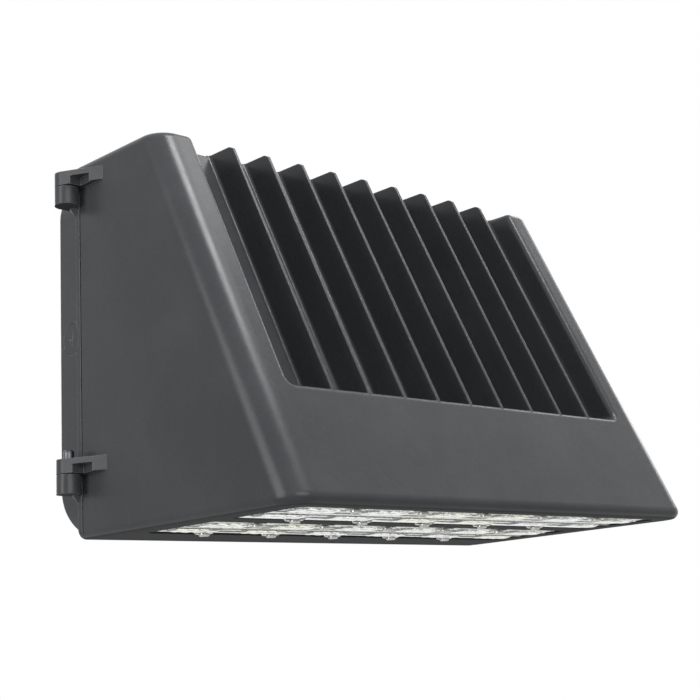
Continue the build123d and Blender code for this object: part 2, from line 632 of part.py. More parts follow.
def lens_screws(lugs):
    """Pan-head screws through one lens's lugs."""
    screws = []
    top_z = LUG_FACE_Z - LENS_SCREW_HEAD_HEIGHT
    for x, y in lugs:
        head = rod((x, y, LUG_FACE_Z), (0, 0, -1), LENS_SCREW_HEAD_RADIUS, LENS_SCREW_HEAD_HEIGHT)
        outer = [e for e in head.edges() if abs(e.center().Z - top_z) < 0.01]
        head = fillet(outer, LENS_SCREW_HEAD_HEIGHT * 0.6)
        for turn in (0, 90):
            slot = Box(SMALL_SLOT, LENS_SCREW_HEAD_RADIUS * 1.1, LENS_SCREW_HEAD_HEIGHT)
            head -= Pos(x, y, top_z) * Rot(0, 0, turn) * slot
        length = SEAT_Z + BASE_THICKNESS - 1 - LUG_FACE_Z
        shank = rod((x, y, LUG_FACE_Z), (0, 0, 1), LENS_SCREW_RADIUS, length)
        screws.append(head + shank)
    return Compound(children=screws)


def cable_grommet(centre):
    """Silicone bush in the base, round the cable of one module."""
    body = rod((CABLE_HOLE_X, centre, SEAT_Z), (0, 0, 1), CABLE_GROMMET_RADIUS, BASE_THICKNESS)
    lip_radius = CABLE_GROMMET_RADIUS + CABLE_GROMMET_LIP
    body += rod((CABLE_HOLE_X, centre, BASE_TOP_Z), (0, 0, 1), lip_radius, CABLE_GROMMET_LIP)
    body += rod((CABLE_HOLE_X, centre, SEAT_Z), (0, 0, -1), lip_radius, CABLE_GROMMET_LIP)
    bore = BASE_THICKNESS + 4 * CABLE_GROMMET_LIP
    return body - rod((CABLE_HOLE_X, centre, SEAT_Z - 2 * CABLE_GROMMET_LIP), (0, 0, 1), CABLE_RADIUS, bore)


# ---------------------------------------------------------------- driver and bracket
def make_bracket():
    """Bent sheet-steel bracket: a foot on the base and an upright for the driver."""
    half = BRACKET_WIDTH / 2
    foot_low = BASE_TOP_Z + BRACKET_PAD
    front = BRACKET_Y - BRACKET_THICKNESS
    profile = [
        (front - BRACKET_FOOT, foot_low),
        (BRACKET_Y, foot_low),
        (BRACKET_Y, BOTTOM_Z + BRACKET_TOP),
        (front, BOTTOM_Z + BRACKET_TOP),
        (front, foot_low + BRACKET_THICKNESS),
        (front - BRACKET_FOOT, foot_low + BRACKET_THICKNESS),
    ]
    sheet = prism_x(profile, -half, half)
    bend = [
        e
        for e in sheet.edges()
        if abs(e.center().Y - BRACKET_Y) < 0.01 and abs(e.center().Z - foot_low) < 0.01
    ]
    sheet = fillet(bend, BRACKET_BEND)
    for x, z in POSTS:
        sheet -= rod((x, BRACKET_Y + 1, z), (0, -1, 0), M4_RADIUS + M4_CLEARANCE, BRACKET_THICKNESS + 2)
    for x, y in FOOT_HOLES:
        sheet -= rod((x, y, foot_low - 1), (0, 0, 1), M4_RADIUS + M4_CLEARANCE, BRACKET_THICKNESS + 2)
    for x, z in driver_screw_places():
        sheet -= rod((x, BRACKET_Y + 1, z), (0, -1, 0), M4_RADIUS + M4_CLEARANCE, BRACKET_THICKNESS + 2)
    for x, z in block_screw_places():
        sheet -= rod((x, BRACKET_Y + 1, z), (0, -1, 0), LENS_SCREW_RADIUS + 0.2, BRACKET_THICKNESS + 2)
    return sheet


def driver_screw_places():
    reach = DRIVER_LENGTH / 2 + DRIVER_EAR_LENGTH / 2
    return [(s * reach, DRIVER_Z) for s in (-1, 1)]


def block_screw_places():
    reach = BLOCK_LENGTH / 2 - BLOCK_FOOT
    return [(BLOCK_CENTRE_X + s * reach, BOTTOM_Z + BLOCK_CENTRE_Z) for s in (-1, 1)]


def driver_block(x_from, x_to):
    """Length of the driver's body, with rounded long edges away from the bracket."""
    depth = (BRACKET_Y, BRACKET_Y + DRIVER_HEIGHT)
    body = block((x_from, x_to), depth, (DRIVER_Z - DRIVER_WIDTH / 2, DRIVER_Z + DRIVER_WIDTH / 2))
    along = [e for e in body.edges() if e.bounding_box().size.X > 1 and e.center().Y > BRACKET_Y + 1]
    return fillet(along, DRIVER_RADIUS)


def make_driver_case():
    """Extruded aluminium case of the driver, with shallow grooves along its outer face."""
    half = DRIVER_LENGTH / 2 - DRIVER_CAP
    case = driver_block(-half, half)
    face = BRACKET_Y + DRIVER_HEIGHT
    for k in range(-3, 4):
        z = DRIVER_Z + k * DRIVER_WIDTH / 8
        groove_z = (z - GROOVE_SIZE, z + GROOVE_SIZE)
        case -= block((-half - 1, half + 1), (face - GROOVE_SIZE, face + 1), groove_z)
    return case


def make_driver_caps():
    """Plastic end caps of the driver: each closes one end and carries a fixing ear."""
    caps = []
    for side in (-1, 1):
        inner, outer = sorted((side * (DRIVER_LENGTH / 2 - DRIVER_CAP), side * DRIVER_LENGTH / 2))
        cap = driver_block(inner, outer)
        ear_x = sorted((side * DRIVER_LENGTH / 2, side * (DRIVER_LENGTH / 2 + DRIVER_EAR_LENGTH)))
        ear_z = (DRIVER_Z - DRIVER_EAR_WIDTH / 2, DRIVER_Z + DRIVER_EAR_WIDTH / 2)
        cap += block(ear_x, (BRACKET_Y, BRACKET_Y + DRIVER_EAR_THICKNESS), ear_z)
        screw_x = side * (DRIVER_LENGTH / 2 + DRIVER_EAR_LENGTH / 2)
        ear_low = (screw_x, BRACKET_Y - 1, DRIVER_Z)
        cap -= rod(ear_low, (0, 1, 0), M4_RADIUS + M4_CLEARANCE, DRIVER_EAR_THICKNESS + 2)
        caps.append(cap)
    return caps


def pan_screw(place, out, under_head):
    """M4 pan-head screw: its head stands on place, towards out, and its shank goes the other way."""
    out = Vector(*out)
    place = Vector(*place)
    head = rod(place, out, M4_HEAD_RADIUS, M4_HEAD_HEIGHT)
    far = place + out * M4_HEAD_HEIGHT
    rim = [e for e in head.edges() if abs((e.center() - far).dot(out)) < 0.01]
    head = fillet(rim, M4_HEAD_HEIGHT * 0.45)
    plane = Plane(origin=far, x_dir=(1, 0, 0), z_dir=out)
    for size in ((M4_SLOT, M4_HEAD_RADIUS * 1.2), (M4_HEAD_RADIUS * 1.2, M4_SLOT)):
        head -= extrude(plane * Rectangle(*size), amount=-M4_HEAD_HEIGHT / 2)
    return head + rod(place, out * -1, M4_RADIUS, under_head)


def make_bracket_screws():
    under = BRACKET_THICKNESS + M4_ENGAGEMENT
    screws = [pan_screw((x, BRACKET_Y, z), (0, 1, 0), under) for x, z in POSTS]
    foot_top = BASE_TOP_Z + BRACKET_PAD + BRACKET_THICKNESS
    screws += [pan_screw((x, y, foot_top), (0, 0, 1), under - 3) for x, y in FOOT_HOLES]
    return Compound(children=screws)


def make_driver_screws():
    """Screws through the driver's ears, each with a nut behind the bracket."""
    ear_face = BRACKET_Y + DRIVER_EAR_THICKNESS
    under = DRIVER_EAR_THICKNESS + BRACKET_THICKNESS + NUT_HEIGHT + 1
    places = driver_screw_places()
    return Compound(children=[pan_screw((x, ear_face, z), (0, 1, 0), under) for x, z in places])


def make_driver_nuts():
    nuts = []
    for x, z in driver_screw_places():
        plane = Plane(origin=(x, BRACKET_Y - BRACKET_THICKNESS, z), x_dir=(1, 0, 0), z_dir=(0, -1, 0))
        nuts.append(extrude(plane * (RegularPolygon(NUT_RADIUS, 6) - Circle(M4_RADIUS)), amount=NUT_HEIGHT))
    return Compound(children=nuts)


def make_terminal_block():
    """Three-pole terminal block on the bracket, under the driver."""
    x = (BLOCK_CENTRE_X - BLOCK_LENGTH / 2, BLOCK_CENTRE_X + BLOCK_LENGTH / 2)
    mid_z = BOTTOM_Z + BLOCK_CENTRE_Z
    z = (mid_z - BLOCK_HEIGHT / 2, mid_z + BLOCK_HEIGHT / 2)
    face = BRACKET_Y + BLOCK_DEPTH
    body = block(x, (BRACKET_Y, face), z)
    rim = [e for e in body.edges() if abs(e.center().Y - face) < 0.01]
    body = fillet(rim, BLOCK_EDGE_RADIUS)
    for sx, sz in block_screw_places():
        foot_x = (sx - BLOCK_FOOT - 1, sx + BLOCK_FOOT)
        if sx > BLOCK_CENTRE_X:
            foot_x = (sx - BLOCK_FOOT, sx + BLOCK_FOOT + 1)
        body -= block(foot_x, (BRACKET_Y + BLOCK_FOOT, face + 1), (z[0] - 1, z[1] + 1))
        body -= rod((sx, BRACKET_Y - 1, sz), (0, 1, 0), LENS_SCREW_RADIUS + BLOCK_CLEARANCE, BLOCK_DEPTH)
    for px in pole_places():
        for side in (-1, 1):
            mouth = (px, BRACKET_Y + BLOCK_DEPTH / 2, mid_z + side * BLOCK_HEIGHT / 2)
            body -= rod(mouth, (0, 0, -side), BLOCK_ENTRY_RADIUS, BLOCK_ENTRY_DEPTH)
            well = (px, face + 1, mid_z + side * BLOCK_HEIGHT / 4)
            body -= rod(well, (0, -1, 0), BLOCK_SCREW_RADIUS, BLOCK_WELL + 1)
    return body


def pole_places():
    pitch = (BLOCK_LENGTH - 4 * BLOCK_FOOT - 2) / BLOCK_POLES
    return [BLOCK_CENTRE_X + (k - (BLOCK_POLES - 1) / 2) * pitch for k in range(BLOCK_POLES)]


def make_terminal_screws():
    """Clamping screws of the block, and the two screws that hold it."""
    well_floor = BRACKET_Y + BLOCK_DEPTH - BLOCK_WELL
    screws = []
    for px in pole_places():
        for side in (-1, 1):
            z = BOTTOM_Z + BLOCK_CENTRE_Z + side * BLOCK_HEIGHT / 4
            radius = BLOCK_SCREW_RADIUS - BLOCK_CLEARANCE
            head = rod((px, well_floor, z), (0, 1, 0), radius, LENS_SCREW_HEAD_HEIGHT)
            screws.append(head - cross_cut(px, well_floor, z))
    foot_face = BRACKET_Y + BLOCK_FOOT
    shank = BLOCK_FOOT + BRACKET_THICKNESS + 3
    for sx, sz in block_screw_places():
        head = rod((sx, foot_face, sz), (0, 1, 0), LENS_SCREW_HEAD_RADIUS, LENS_SCREW_HEAD_HEIGHT)
        head -= cross_cut(sx, foot_face, sz)
        screws.append(head + rod((sx, foot_face, sz), (0, -1, 0), LENS_SCREW_RADIUS, shank))
    return Compound(children=screws)


def cross_cut(x, under_head, z):
    """Slot across the outer half of a small screw's head."""
    depth = (under_head + LENS_SCREW_HEAD_HEIGHT / 2, under_head + LENS_SCREW_HEAD_HEIGHT + 1)
    reach = LENS_SCREW_HEAD_RADIUS + 1
    return block((x - SMALL_SLOT / 2, x + SMALL_SLOT / 2), depth, (z - reach, z + reach))


# ---------------------------------------------------------------- internal cables
def lead_route(index):
    """From the driver's left end round a nested loop down into the terminal block's top."""
    out = index * LEAD_SPACING
    y = BRACKET_Y + BLOCK_DEPTH / 2
    start_x, start_z = -DRIVER_LENGTH / 2, DRIVER_Z - DRIVER_WIDTH / 4 + out
    low_z = DRIVER_Z - DRIVER_WIDTH / 2 - LEAD_BELOW_DRIVER - out
    loop_x, entry_x = start_x - LEAD_LOOP - out, pole_places()[BLOCK_POLES - 1 - index]
    entry_z = BOTTOM_Z + BLOCK_CENTRE_Z + BLOCK_HEIGHT / 2 - BLOCK_ENTRY_DEPTH
    route = [(start_x, start_z), (loop_x, start_z), (loop_x, low_z), (entry_x, low_z), (entry_x, entry_z)]
    return [(x, y, z) for x, z in route]


def cable_route(name):
    """From one LED board up through its grommet and back to the driver's right end."""
    start = Vector(CABLE_HOLE_X, MODULES[name][0], BOARD_Z)
    level = CABLE_OUTLET_SPACING / 2 * (1 if name == "front" else -1)
    outlet = Vector(DRIVER_LENGTH / 2, BRACKET_Y + DRIVER_HEIGHT / 2 + CABLE_OUTLET_OFFSET, DRIVER_Z + level)
    run_out = outlet + Vector(CABLE_RUN_OUT, 0, 0)
    if name == "rear":
        rise = start + Vector(0, 0, REAR_CABLE_RISE)
        bows = [(0.52, (4, -3, 0))]
    else:
        rise = start + Vector(0, 0, FRONT_CABLE_RISE)
        bows = [(0.3, (5, 0, -6)), (0.66, (8, 0, -4))]
    # each bow: its share of the way from the rise to the outlet's run, and how far it leaves the line
    middle = [rise + (run_out - rise) * share + Vector(*aside) for share, aside in bows]
    return [tuple(p) for p in (start, rise, *middle, run_out, outlet)]


def cable(points, radius):
    radii = corner_radii(points)
    print("arc radii", [round(r, 1) for r in radii])
    return tube(points, radii, radius)


# ---------------------------------------------------------------- closing screws
def closing_screw(z):
    """Captive socket-head screw, from its head on the housing's ear into the back box's ear."""
    front = HOUSING_REAR_Y - EAR_LENGTH
    head = rod((EAR_X, front, z), (0, -1, 0), CLOSING_HEAD_RADIUS, CLOSING_HEAD_HEIGHT)
    far = [e for e in head.edges() if abs(e.center().Y - (front - CLOSING_HEAD_HEIGHT)) < 0.01]
    head = fillet(far, 0.6)
    mouth = Plane(origin=(EAR_X, front - CLOSING_HEAD_HEIGHT, z), z_dir=(0, 1, 0))
    head -= extrude(mouth * RegularPolygon(HEX_SOCKET_RADIUS, 6), amount=CLOSING_HEAD_HEIGHT * 0.6)
    length = EAR_LENGTH + PARTING_GAP + CLOSING_THREAD
    return head + rod((EAR_X, front, z), (0, 1, 0), CLOSING_SCREW_RADIUS, length)


def retaining_collar(z):
    """Snap ring that keeps the loosened screw in the housing's ear."""
    y = HOUSING_REAR_Y - COLLAR_THICKNESS
    ring = rod((EAR_X, y, z), (0, 1, 0), COLLAR_RADIUS, COLLAR_THICKNESS)
    return ring - rod((EAR_X, y - 1, z), (0, 1, 0), CLOSING_SCREW_RADIUS, COLLAR_THICKNESS + 2)


# ---------------------------------------------------------------- back box
def make_back_box():
    """Die-cast pan with a flange, hinge knuckles, threaded ears and conduit entries."""
    pan_width, pan_height = HOUSING_WIDTH - 2 * BOX_INSET, HOUSING_HEIGHT - 2 * BOX_INSET
    body = slab_y(pan_width, pan_height, BOX_CORNER_RADIUS, FLANGE_FRONT_Y, 0, BOX_DRAFT)
    back_edges = [e for e in body.edges() if abs(e.bounding_box().min.Y) < 0.01]
    body = fillet(back_edges, BOX_EDGE_RADIUS)
    flange_rear = FLANGE_FRONT_Y + FLANGE_THICKNESS
    body += slab_y(HOUSING_WIDTH, HOUSING_HEIGHT, FLANGE_CORNER_RADIUS, FLANGE_FRONT_Y, flange_rear)
    for top_z, _ in HINGES.values():
        body += hinge_knuckle(top_z - ARM_HEIGHT - HINGE_GAP)
    for z in EARS.values():
        body += ear(z, FLANGE_FRONT_Y, FLANGE_FRONT_Y + CLOSING_THREAD + 3)

    mouth_width, mouth_height = HOUSING_WIDTH - 2 * FLANGE_WIDTH, HOUSING_HEIGHT - 2 * FLANGE_WIDTH
    mouth_radius = BOX_CORNER_RADIUS - FLANGE_WIDTH + BOX_INSET
    body -= slab_y(mouth_width, mouth_height, mouth_radius, FLANGE_FRONT_Y - 1, flange_rear)
    # the hollow is straight, so the walls keep their thickness at the narrow end of the tapered pan
    hollow_width, hollow_height = pan_width - 2 * BOX_WALL - 2, pan_height - 2 * BOX_WALL - 2
    body -= slab_y(hollow_width, hollow_height, BOX_CORNER_RADIUS - BOX_WALL, flange_rear, -BOX_WALL)

    for sx in (-1, 1):
        for sz in (-1, 1):
            x, z = sx * WALL_HOLE_SPACING_X / 2, sz * WALL_HOLE_SPACING_Z / 2
            body += rod((x, -BOX_WALL, z), (0, -1, 0), WALL_BOSS_RADIUS, WALL_BOSS_HEIGHT)
            body -= rod((x, 1, z), (0, -1, 0), WALL_HOLE_RADIUS, BOX_WALL + WALL_BOSS_HEIGHT + 2)
        plane = Plane(origin=(sx * JUNCTION_SPACING / 2, 1, 0), x_dir=(1, 0, 0), z_dir=(0, -1, 0))
        slot = plane * SlotOverall(JUNCTION_SLOT_LENGTH, 2 * JUNCTION_SLOT_RADIUS)
        body -= extrude(slot, amount=BOX_WALL + 2)
    body -= rod((0, 1, 0), (0, -1, 0), CABLE_HOLE_RADIUS, BOX_WALL + 2)
    body += rod((EARTH_X, -BOX_WALL + 1, EARTH_Z), (0, -1, 0), EARTH_BOSS_RADIUS, EARTH_BOSS_HEIGHT + 1)
    boss_end = -BOX_WALL - EARTH_BOSS_HEIGHT
    body -= rod((EARTH_X, boss_end - 1, EARTH_Z), (0, 1, 0), M4_RADIUS, EARTH_BOSS_HEIGHT + 1)

    for place, inward in CONDUITS.values():
        place, inward = Vector(*place), Vector(*inward)
        boss = rod(place + inward * BOX_WALL, inward, SPOTFACE_RADIUS, CONDUIT_BOSS_LENGTH)
        body += boss & block((-BIG, BIG), (FLANGE_FRONT_Y, -BOX_WALL / 2), (-BIG, BIG))
        body -= rod(place - inward * 5, inward, CONDUIT_RADIUS, CONDUIT_BOSS_LENGTH + BOX_WALL + 6)
        body -= rod(place - inward * 5, inward, SPOTFACE_RADIUS, SPOTFACE_DEPTH + 5)
    for top_z, _ in HINGES.values():
        knuckle_top = top_z - ARM_HEIGHT - HINGE_GAP
        body -= rod((HINGE_X, HINGE_Y, knuckle_top + 1), (0, 0, -1), PIN_RADIUS, KNUCKLE_HEIGHT - 1)
    for z in EARS.values():
        bore = CLOSING_SCREW_RADIUS + CLOSING_CLEARANCE
        body -= rod((EAR_X, FLANGE_FRONT_Y - 1, z), (0, 1, 0), bore, CLOSING_THREAD + 2.5)
    return body


CONDUITS = {
    "left": ((-HALF_WIDTH + BOX_INSET, CONDUIT_Y, SIDE_CONDUIT_Z), (1, 0, 0)),
    "right": ((HALF_WIDTH - BOX_INSET, CONDUIT_Y, SIDE_CONDUIT_Z), (-1, 0, 0)),
    "top": ((0, CONDUIT_Y, TOP_Z - BOX_INSET), (0, 0, -1)),
}


def hinge_knuckle(top_z):
    """Barrel for a hinge pin, with a web to the pan and a short tapered foot below the web."""
    low = top_z - KNUCKLE_HEIGHT
    barrel = rod((HINGE_X, HINGE_Y, low), (0, 0, 1), HINGE_RADIUS, KNUCKLE_HEIGHT)
    pan_x = -HALF_WIDTH + BOX_INSET
    web_y = (FLANGE_FRONT_Y + 0.6, HINGE_Y + HINGE_RADIUS)
    web = block((HINGE_X, pan_x + 2), web_y, (low, top_z))
    foot_y = HINGE_Y + HINGE_RADIUS / 3
    wide = Plane(origin=(pan_x, foot_y, low)) * Circle(KNUCKLE_FOOT_RADIUS)
    narrow = Plane(origin=(pan_x, foot_y, low - KNUCKLE_FOOT)) * Circle(KNUCKLE_FOOT_RADIUS / 4)
    foot = loft([narrow, wide]) & block((-BIG, pan_x + 2), (FLANGE_FRONT_Y + 0.6, 0), (-BIG, BIG))
    return barrel + web + foot


def hinge_pin(top_z, rise):
    """Steel pin, pressed into its knuckle and running in the arm's eye."""
    low = top_z - ARM_HEIGHT - HINGE_GAP + 1 - (KNUCKLE_HEIGHT - 1)
    pin = rod((HINGE_X, HINGE_Y, low), (0, 0, 1), PIN_RADIUS, top_z + rise - low)
    tip = [e for e in pin.edges() if abs(e.center().Z - (top_z + rise)) < 0.01]
    return fillet(tip, PIN_RADIUS * 0.45)


def conduit_plug(place, inward):
    """Flush threaded plug with a cross recess, closing one conduit entry."""
    place, inward = Vector(*place), Vector(*inward)
    face = place + inward * SPOTFACE_DEPTH
    body = rod(face, inward, CONDUIT_RADIUS - THREAD_CLEARANCE, PLUG_LENGTH)
    rim = [e for e in body.edges() if abs((e.center() - face).dot(inward)) < 0.01]
    body = chamfer(rim, PLUG_CHAMFER)
    inner = face + inward * (PLUG_LENGTH + 1)
    body -= rod(inner, inward * -1, PLUG_BORE_RADIUS, PLUG_LENGTH + 1 - PLUG_FLOOR)
    plane = Plane(origin=face, x_dir=Vector(0, 1, 0), z_dir=inward).rotated((0, 0, PLUG_TURN))
    for size in ((PLUG_SLOT_LENGTH, PLUG_SLOT_WIDTH), (PLUG_SLOT_WIDTH, PLUG_SLOT_LENGTH)):
        body -= extrude(plane * Rectangle(*size), amount=PLUG_SLOT_DEPTH)
    return body


def make_cable_grommet():
    """Rubber bush in the back box's cable hole, flush with the wall side."""
    body = rod((0, 0, 0), (0, -1, 0), CABLE_HOLE_RADIUS, BOX_WALL)
    body += rod((0, -BOX_WALL, 0), (0, -1, 0), CABLE_HOLE_RADIUS + GROMMET_LIP, GROMMET_LIP_THICKNESS)
    return body - rod((0, 1, 0), (0, -1, 0), GROMMET_BORE_RADIUS, BOX_WALL + GROMMET_LIP_THICKNESS + 2)


def make_earth_washer():
    y = -BOX_WALL - EARTH_BOSS_HEIGHT
    ring = rod((EARTH_X, y, EARTH_Z), (0, -1, 0), M4_HEAD_RADIUS + 1, EARTH_WASHER_THICKNESS)
    return ring - rod((EARTH_X, y + 1, EARTH_Z), (0, -1, 0), M4_RADIUS + 0.2, EARTH_WASHER_THICKNESS + 2)


def make_earth_screw():
    y = -BOX_WALL - EARTH_BOSS_HEIGHT - EARTH_WASHER_THICKNESS
    return pan_screw((EARTH_X, y, EARTH_Z), (0, -1, 0), EARTH_WASHER_THICKNESS + EARTH_BOSS_HEIGHT - 1)


# ---------------------------------------------------------------- write every part
def build_parts():
    parts = {
        "front_housing": make_front_housing(),
        "housing_gasket": make_housing_gasket(),
        "driver_bracket": make_bracket(),
        "bracket_screws": make_bracket_screws(),
        "driver_case": make_driver_case(),
        "driver_screws": make_driver_screws(),
        "driver_nuts": make_driver_nuts(),
        "terminal_block": make_terminal_block(),
        "terminal_screws": make_terminal_screws(),
        "back_box": make_back_box(),
        "cable_grommet": make_cable_grommet(),
        "earth_washer": make_earth_washer(),
        "earth_screw": make_earth_screw(),
    }
    for side, cap in zip(("left", "right"), make_driver_caps()):
        parts[f"driver_cap_{side}"] = cap
    for name, (centre, lugs) in MODULES.items():
        parts[f"lens_{name}"] = lens(centre, lugs)
        parts[f"lens_gasket_{name}"] = lens_gasket(centre, lugs)
        parts[f"led_board_{name}"] = led_board(centre, lugs)
        parts[f"led_chips_{name}"] = led_chips(centre)
        parts[f"lens_screws_{name}"] = lens_screws(lugs)
        parts[f"led_grommet_{name}"] = cable_grommet(centre)
    for index, name in enumerate(("live", "neutral", "earth")):
        parts[f"driver_lead_{name}"] = cable(lead_route(index), LEAD_RADIUS)
    for name in MODULES:
        parts[f"led_cable_{name}"] = cable(cable_route(name), CABLE_RADIUS)
    for name, z in EARS.items():
        parts[f"closing_screw_{name}"] = closing_screw(z)
        parts[f"retaining_collar_{name}"] = retaining_collar(z)
    for name, (top_z, rise) in HINGES.items():
        parts[f"hinge_pin_{name}"] = hinge_pin(top_z, rise)
    for name, (place, inward) in CONDUITS.items():
        parts[f"conduit_plug_{name}"] = conduit_plug(place, inward)
    return parts


os.makedirs("parts", exist_ok=True)
for node, shape in build_parts().items():
    export_step(shape, f"parts/{node}.step")
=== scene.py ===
# Wall pack light: finishes of its castings, lens modules and fittings, with a plain studio.
import math

import bpy
import numpy as np
from mathutils import Matrix, Vector


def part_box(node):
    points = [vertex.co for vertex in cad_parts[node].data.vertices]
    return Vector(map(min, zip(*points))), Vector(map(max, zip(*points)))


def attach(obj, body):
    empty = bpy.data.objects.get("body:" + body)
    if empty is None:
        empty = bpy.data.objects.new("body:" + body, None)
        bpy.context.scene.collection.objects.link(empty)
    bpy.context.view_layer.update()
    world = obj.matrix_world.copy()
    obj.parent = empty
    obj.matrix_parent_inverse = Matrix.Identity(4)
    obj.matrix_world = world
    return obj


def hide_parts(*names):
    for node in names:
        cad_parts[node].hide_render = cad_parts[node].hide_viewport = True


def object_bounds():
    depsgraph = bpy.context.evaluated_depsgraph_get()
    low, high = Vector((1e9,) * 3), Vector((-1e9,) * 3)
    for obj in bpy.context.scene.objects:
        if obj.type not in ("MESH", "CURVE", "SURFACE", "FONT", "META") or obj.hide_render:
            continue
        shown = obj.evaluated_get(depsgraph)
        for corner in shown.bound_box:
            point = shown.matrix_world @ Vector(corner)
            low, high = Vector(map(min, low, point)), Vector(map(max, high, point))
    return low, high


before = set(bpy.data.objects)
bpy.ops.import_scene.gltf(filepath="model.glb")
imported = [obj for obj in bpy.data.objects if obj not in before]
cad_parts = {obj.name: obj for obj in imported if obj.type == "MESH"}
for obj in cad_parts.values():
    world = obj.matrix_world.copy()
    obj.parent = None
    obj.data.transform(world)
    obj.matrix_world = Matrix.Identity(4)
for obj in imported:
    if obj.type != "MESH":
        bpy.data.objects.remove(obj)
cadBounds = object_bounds()
mm = 0.001


def hexColor(text):
    # sRGB hex to linear: below 0.04045 divide by 12.92, above it ((c + 0.055) / 1.055) ^ 2.4
    channels = [int(text[i:i + 2], 16) / 255 for i in (1, 3, 5)]
    return tuple(c / 12.92 if c <= 0.04045 else ((c + 0.055) / 1.055) ** 2.4 for c in channels) + (1.0,)


def addNode(tree, kind, settings=None, inputs=None):
    # settings are the node's own properties, with stops for the colours of a colour ramp;
    # each input takes a value, or the output that is linked to it
    node = tree.nodes.new("ShaderNode" + kind)
    for key, value in (settings or {}).items():
        if key != "stops":
            setattr(node, key, value)
            continue
        while len(node.color_ramp.elements) < len(value):
            node.color_ramp.elements.new(0.5)
        for element, (position, color) in zip(node.color_ramp.elements, value):
            element.position = position
            element.color = hexColor(color)
    for key, value in (inputs or {}).items():
        if isinstance(value, bpy.types.NodeSocket):
            tree.links.new(value, node.inputs[key])
        else:
            node.inputs[key].default_value = value
    return node


def startMaterial(name):
    material = bpy.data.materials.new(name)
    material.use_nodes = True
    tree = material.node_tree
    tree.nodes.clear()
    return material, tree, addNode(tree, "TexCoord").outputs["Object"]


def closeMaterial(tree, sockets):
    shader = addNode(tree, "BsdfPrincipled", {}, sockets)
    addNode(tree, "OutputMaterial", {}, {"Surface": shader.outputs["BSDF"]})


def heightOfFacing(tree, normal):
    # Z of the normal in the piece's own axes: 1 on a face that looks up, 0 upright, -1 where it looks down
    turned = addNode(tree, "VectorTransform",
                     {"vector_type": "NORMAL", "convert_from": "WORLD", "convert_to": "OBJECT"},
                     {"Vector": normal})
    return addNode(tree, "SeparateXYZ", {}, {"Vector": turned.outputs["Vector"]}).outputs["Z"]


def coverNodes(nodeNames, material):
    for name in nodeNames:
        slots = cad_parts[name].data.materials
        slots.clear()
        slots.append(material)


# Polyester powder coat on die-cast aluminium: satin, a fine orange peel from the melted powder, a slight
# cloudiness from one spray pass to the next, and a paler colour on sharp edges, a little rubbing of the
# coat and mostly a painted highlight. Level faces are dull, those above from dust and those below from a
# thinner, drier coat
powderCoat = {
    "colors": ("#343537", "#3a3b3d"),
    "colorStops": (0.35, 0.7),  # of the clouds
    "cloudSize": 55 * mm,
    "rubbed": "#4a4b4d",
    "grainSize": 0.45 * mm,  # powder grains are near 0.05 mm, drawn coarser so that they show
    "grainReach": (0.6, 0.78),  # of the noise, from untouched to fully rubbed grains
    "rubbedShare": 0.3,
    "dust": "#504f4c",
    "dustReach": (0.25, 0.75),
    "dustShare": 0.15,
    # paler colour on sharp edges: a painted highlight, with a little rubbing of the coat
    "edge": "#77787a",
    "edgeHighlightWidth": 0.7 * mm,
    "edgeHighlightTurn": (0.97, 0.82),  # cosine between the flat and rounded normals where the painted edge highlight starts and where it is full
    "edgeSamples": 6,
    "roughness": (0.25, 0.3),
    "smearSize": 9 * mm,
    "smearReach": (0.3, 0.7),
    "levelRoughness": 0.85,
    "levelReach": (0.65, 0.95),  # 0 is an upright face, 1 a level one
    "specular": 0.15,  # a dull sheen: 0.5 is plain varnish
    "peelSize": 1.3 * mm,
    "peelDepth": 0.012 * mm,
    "peelStrength": 0.6,
}


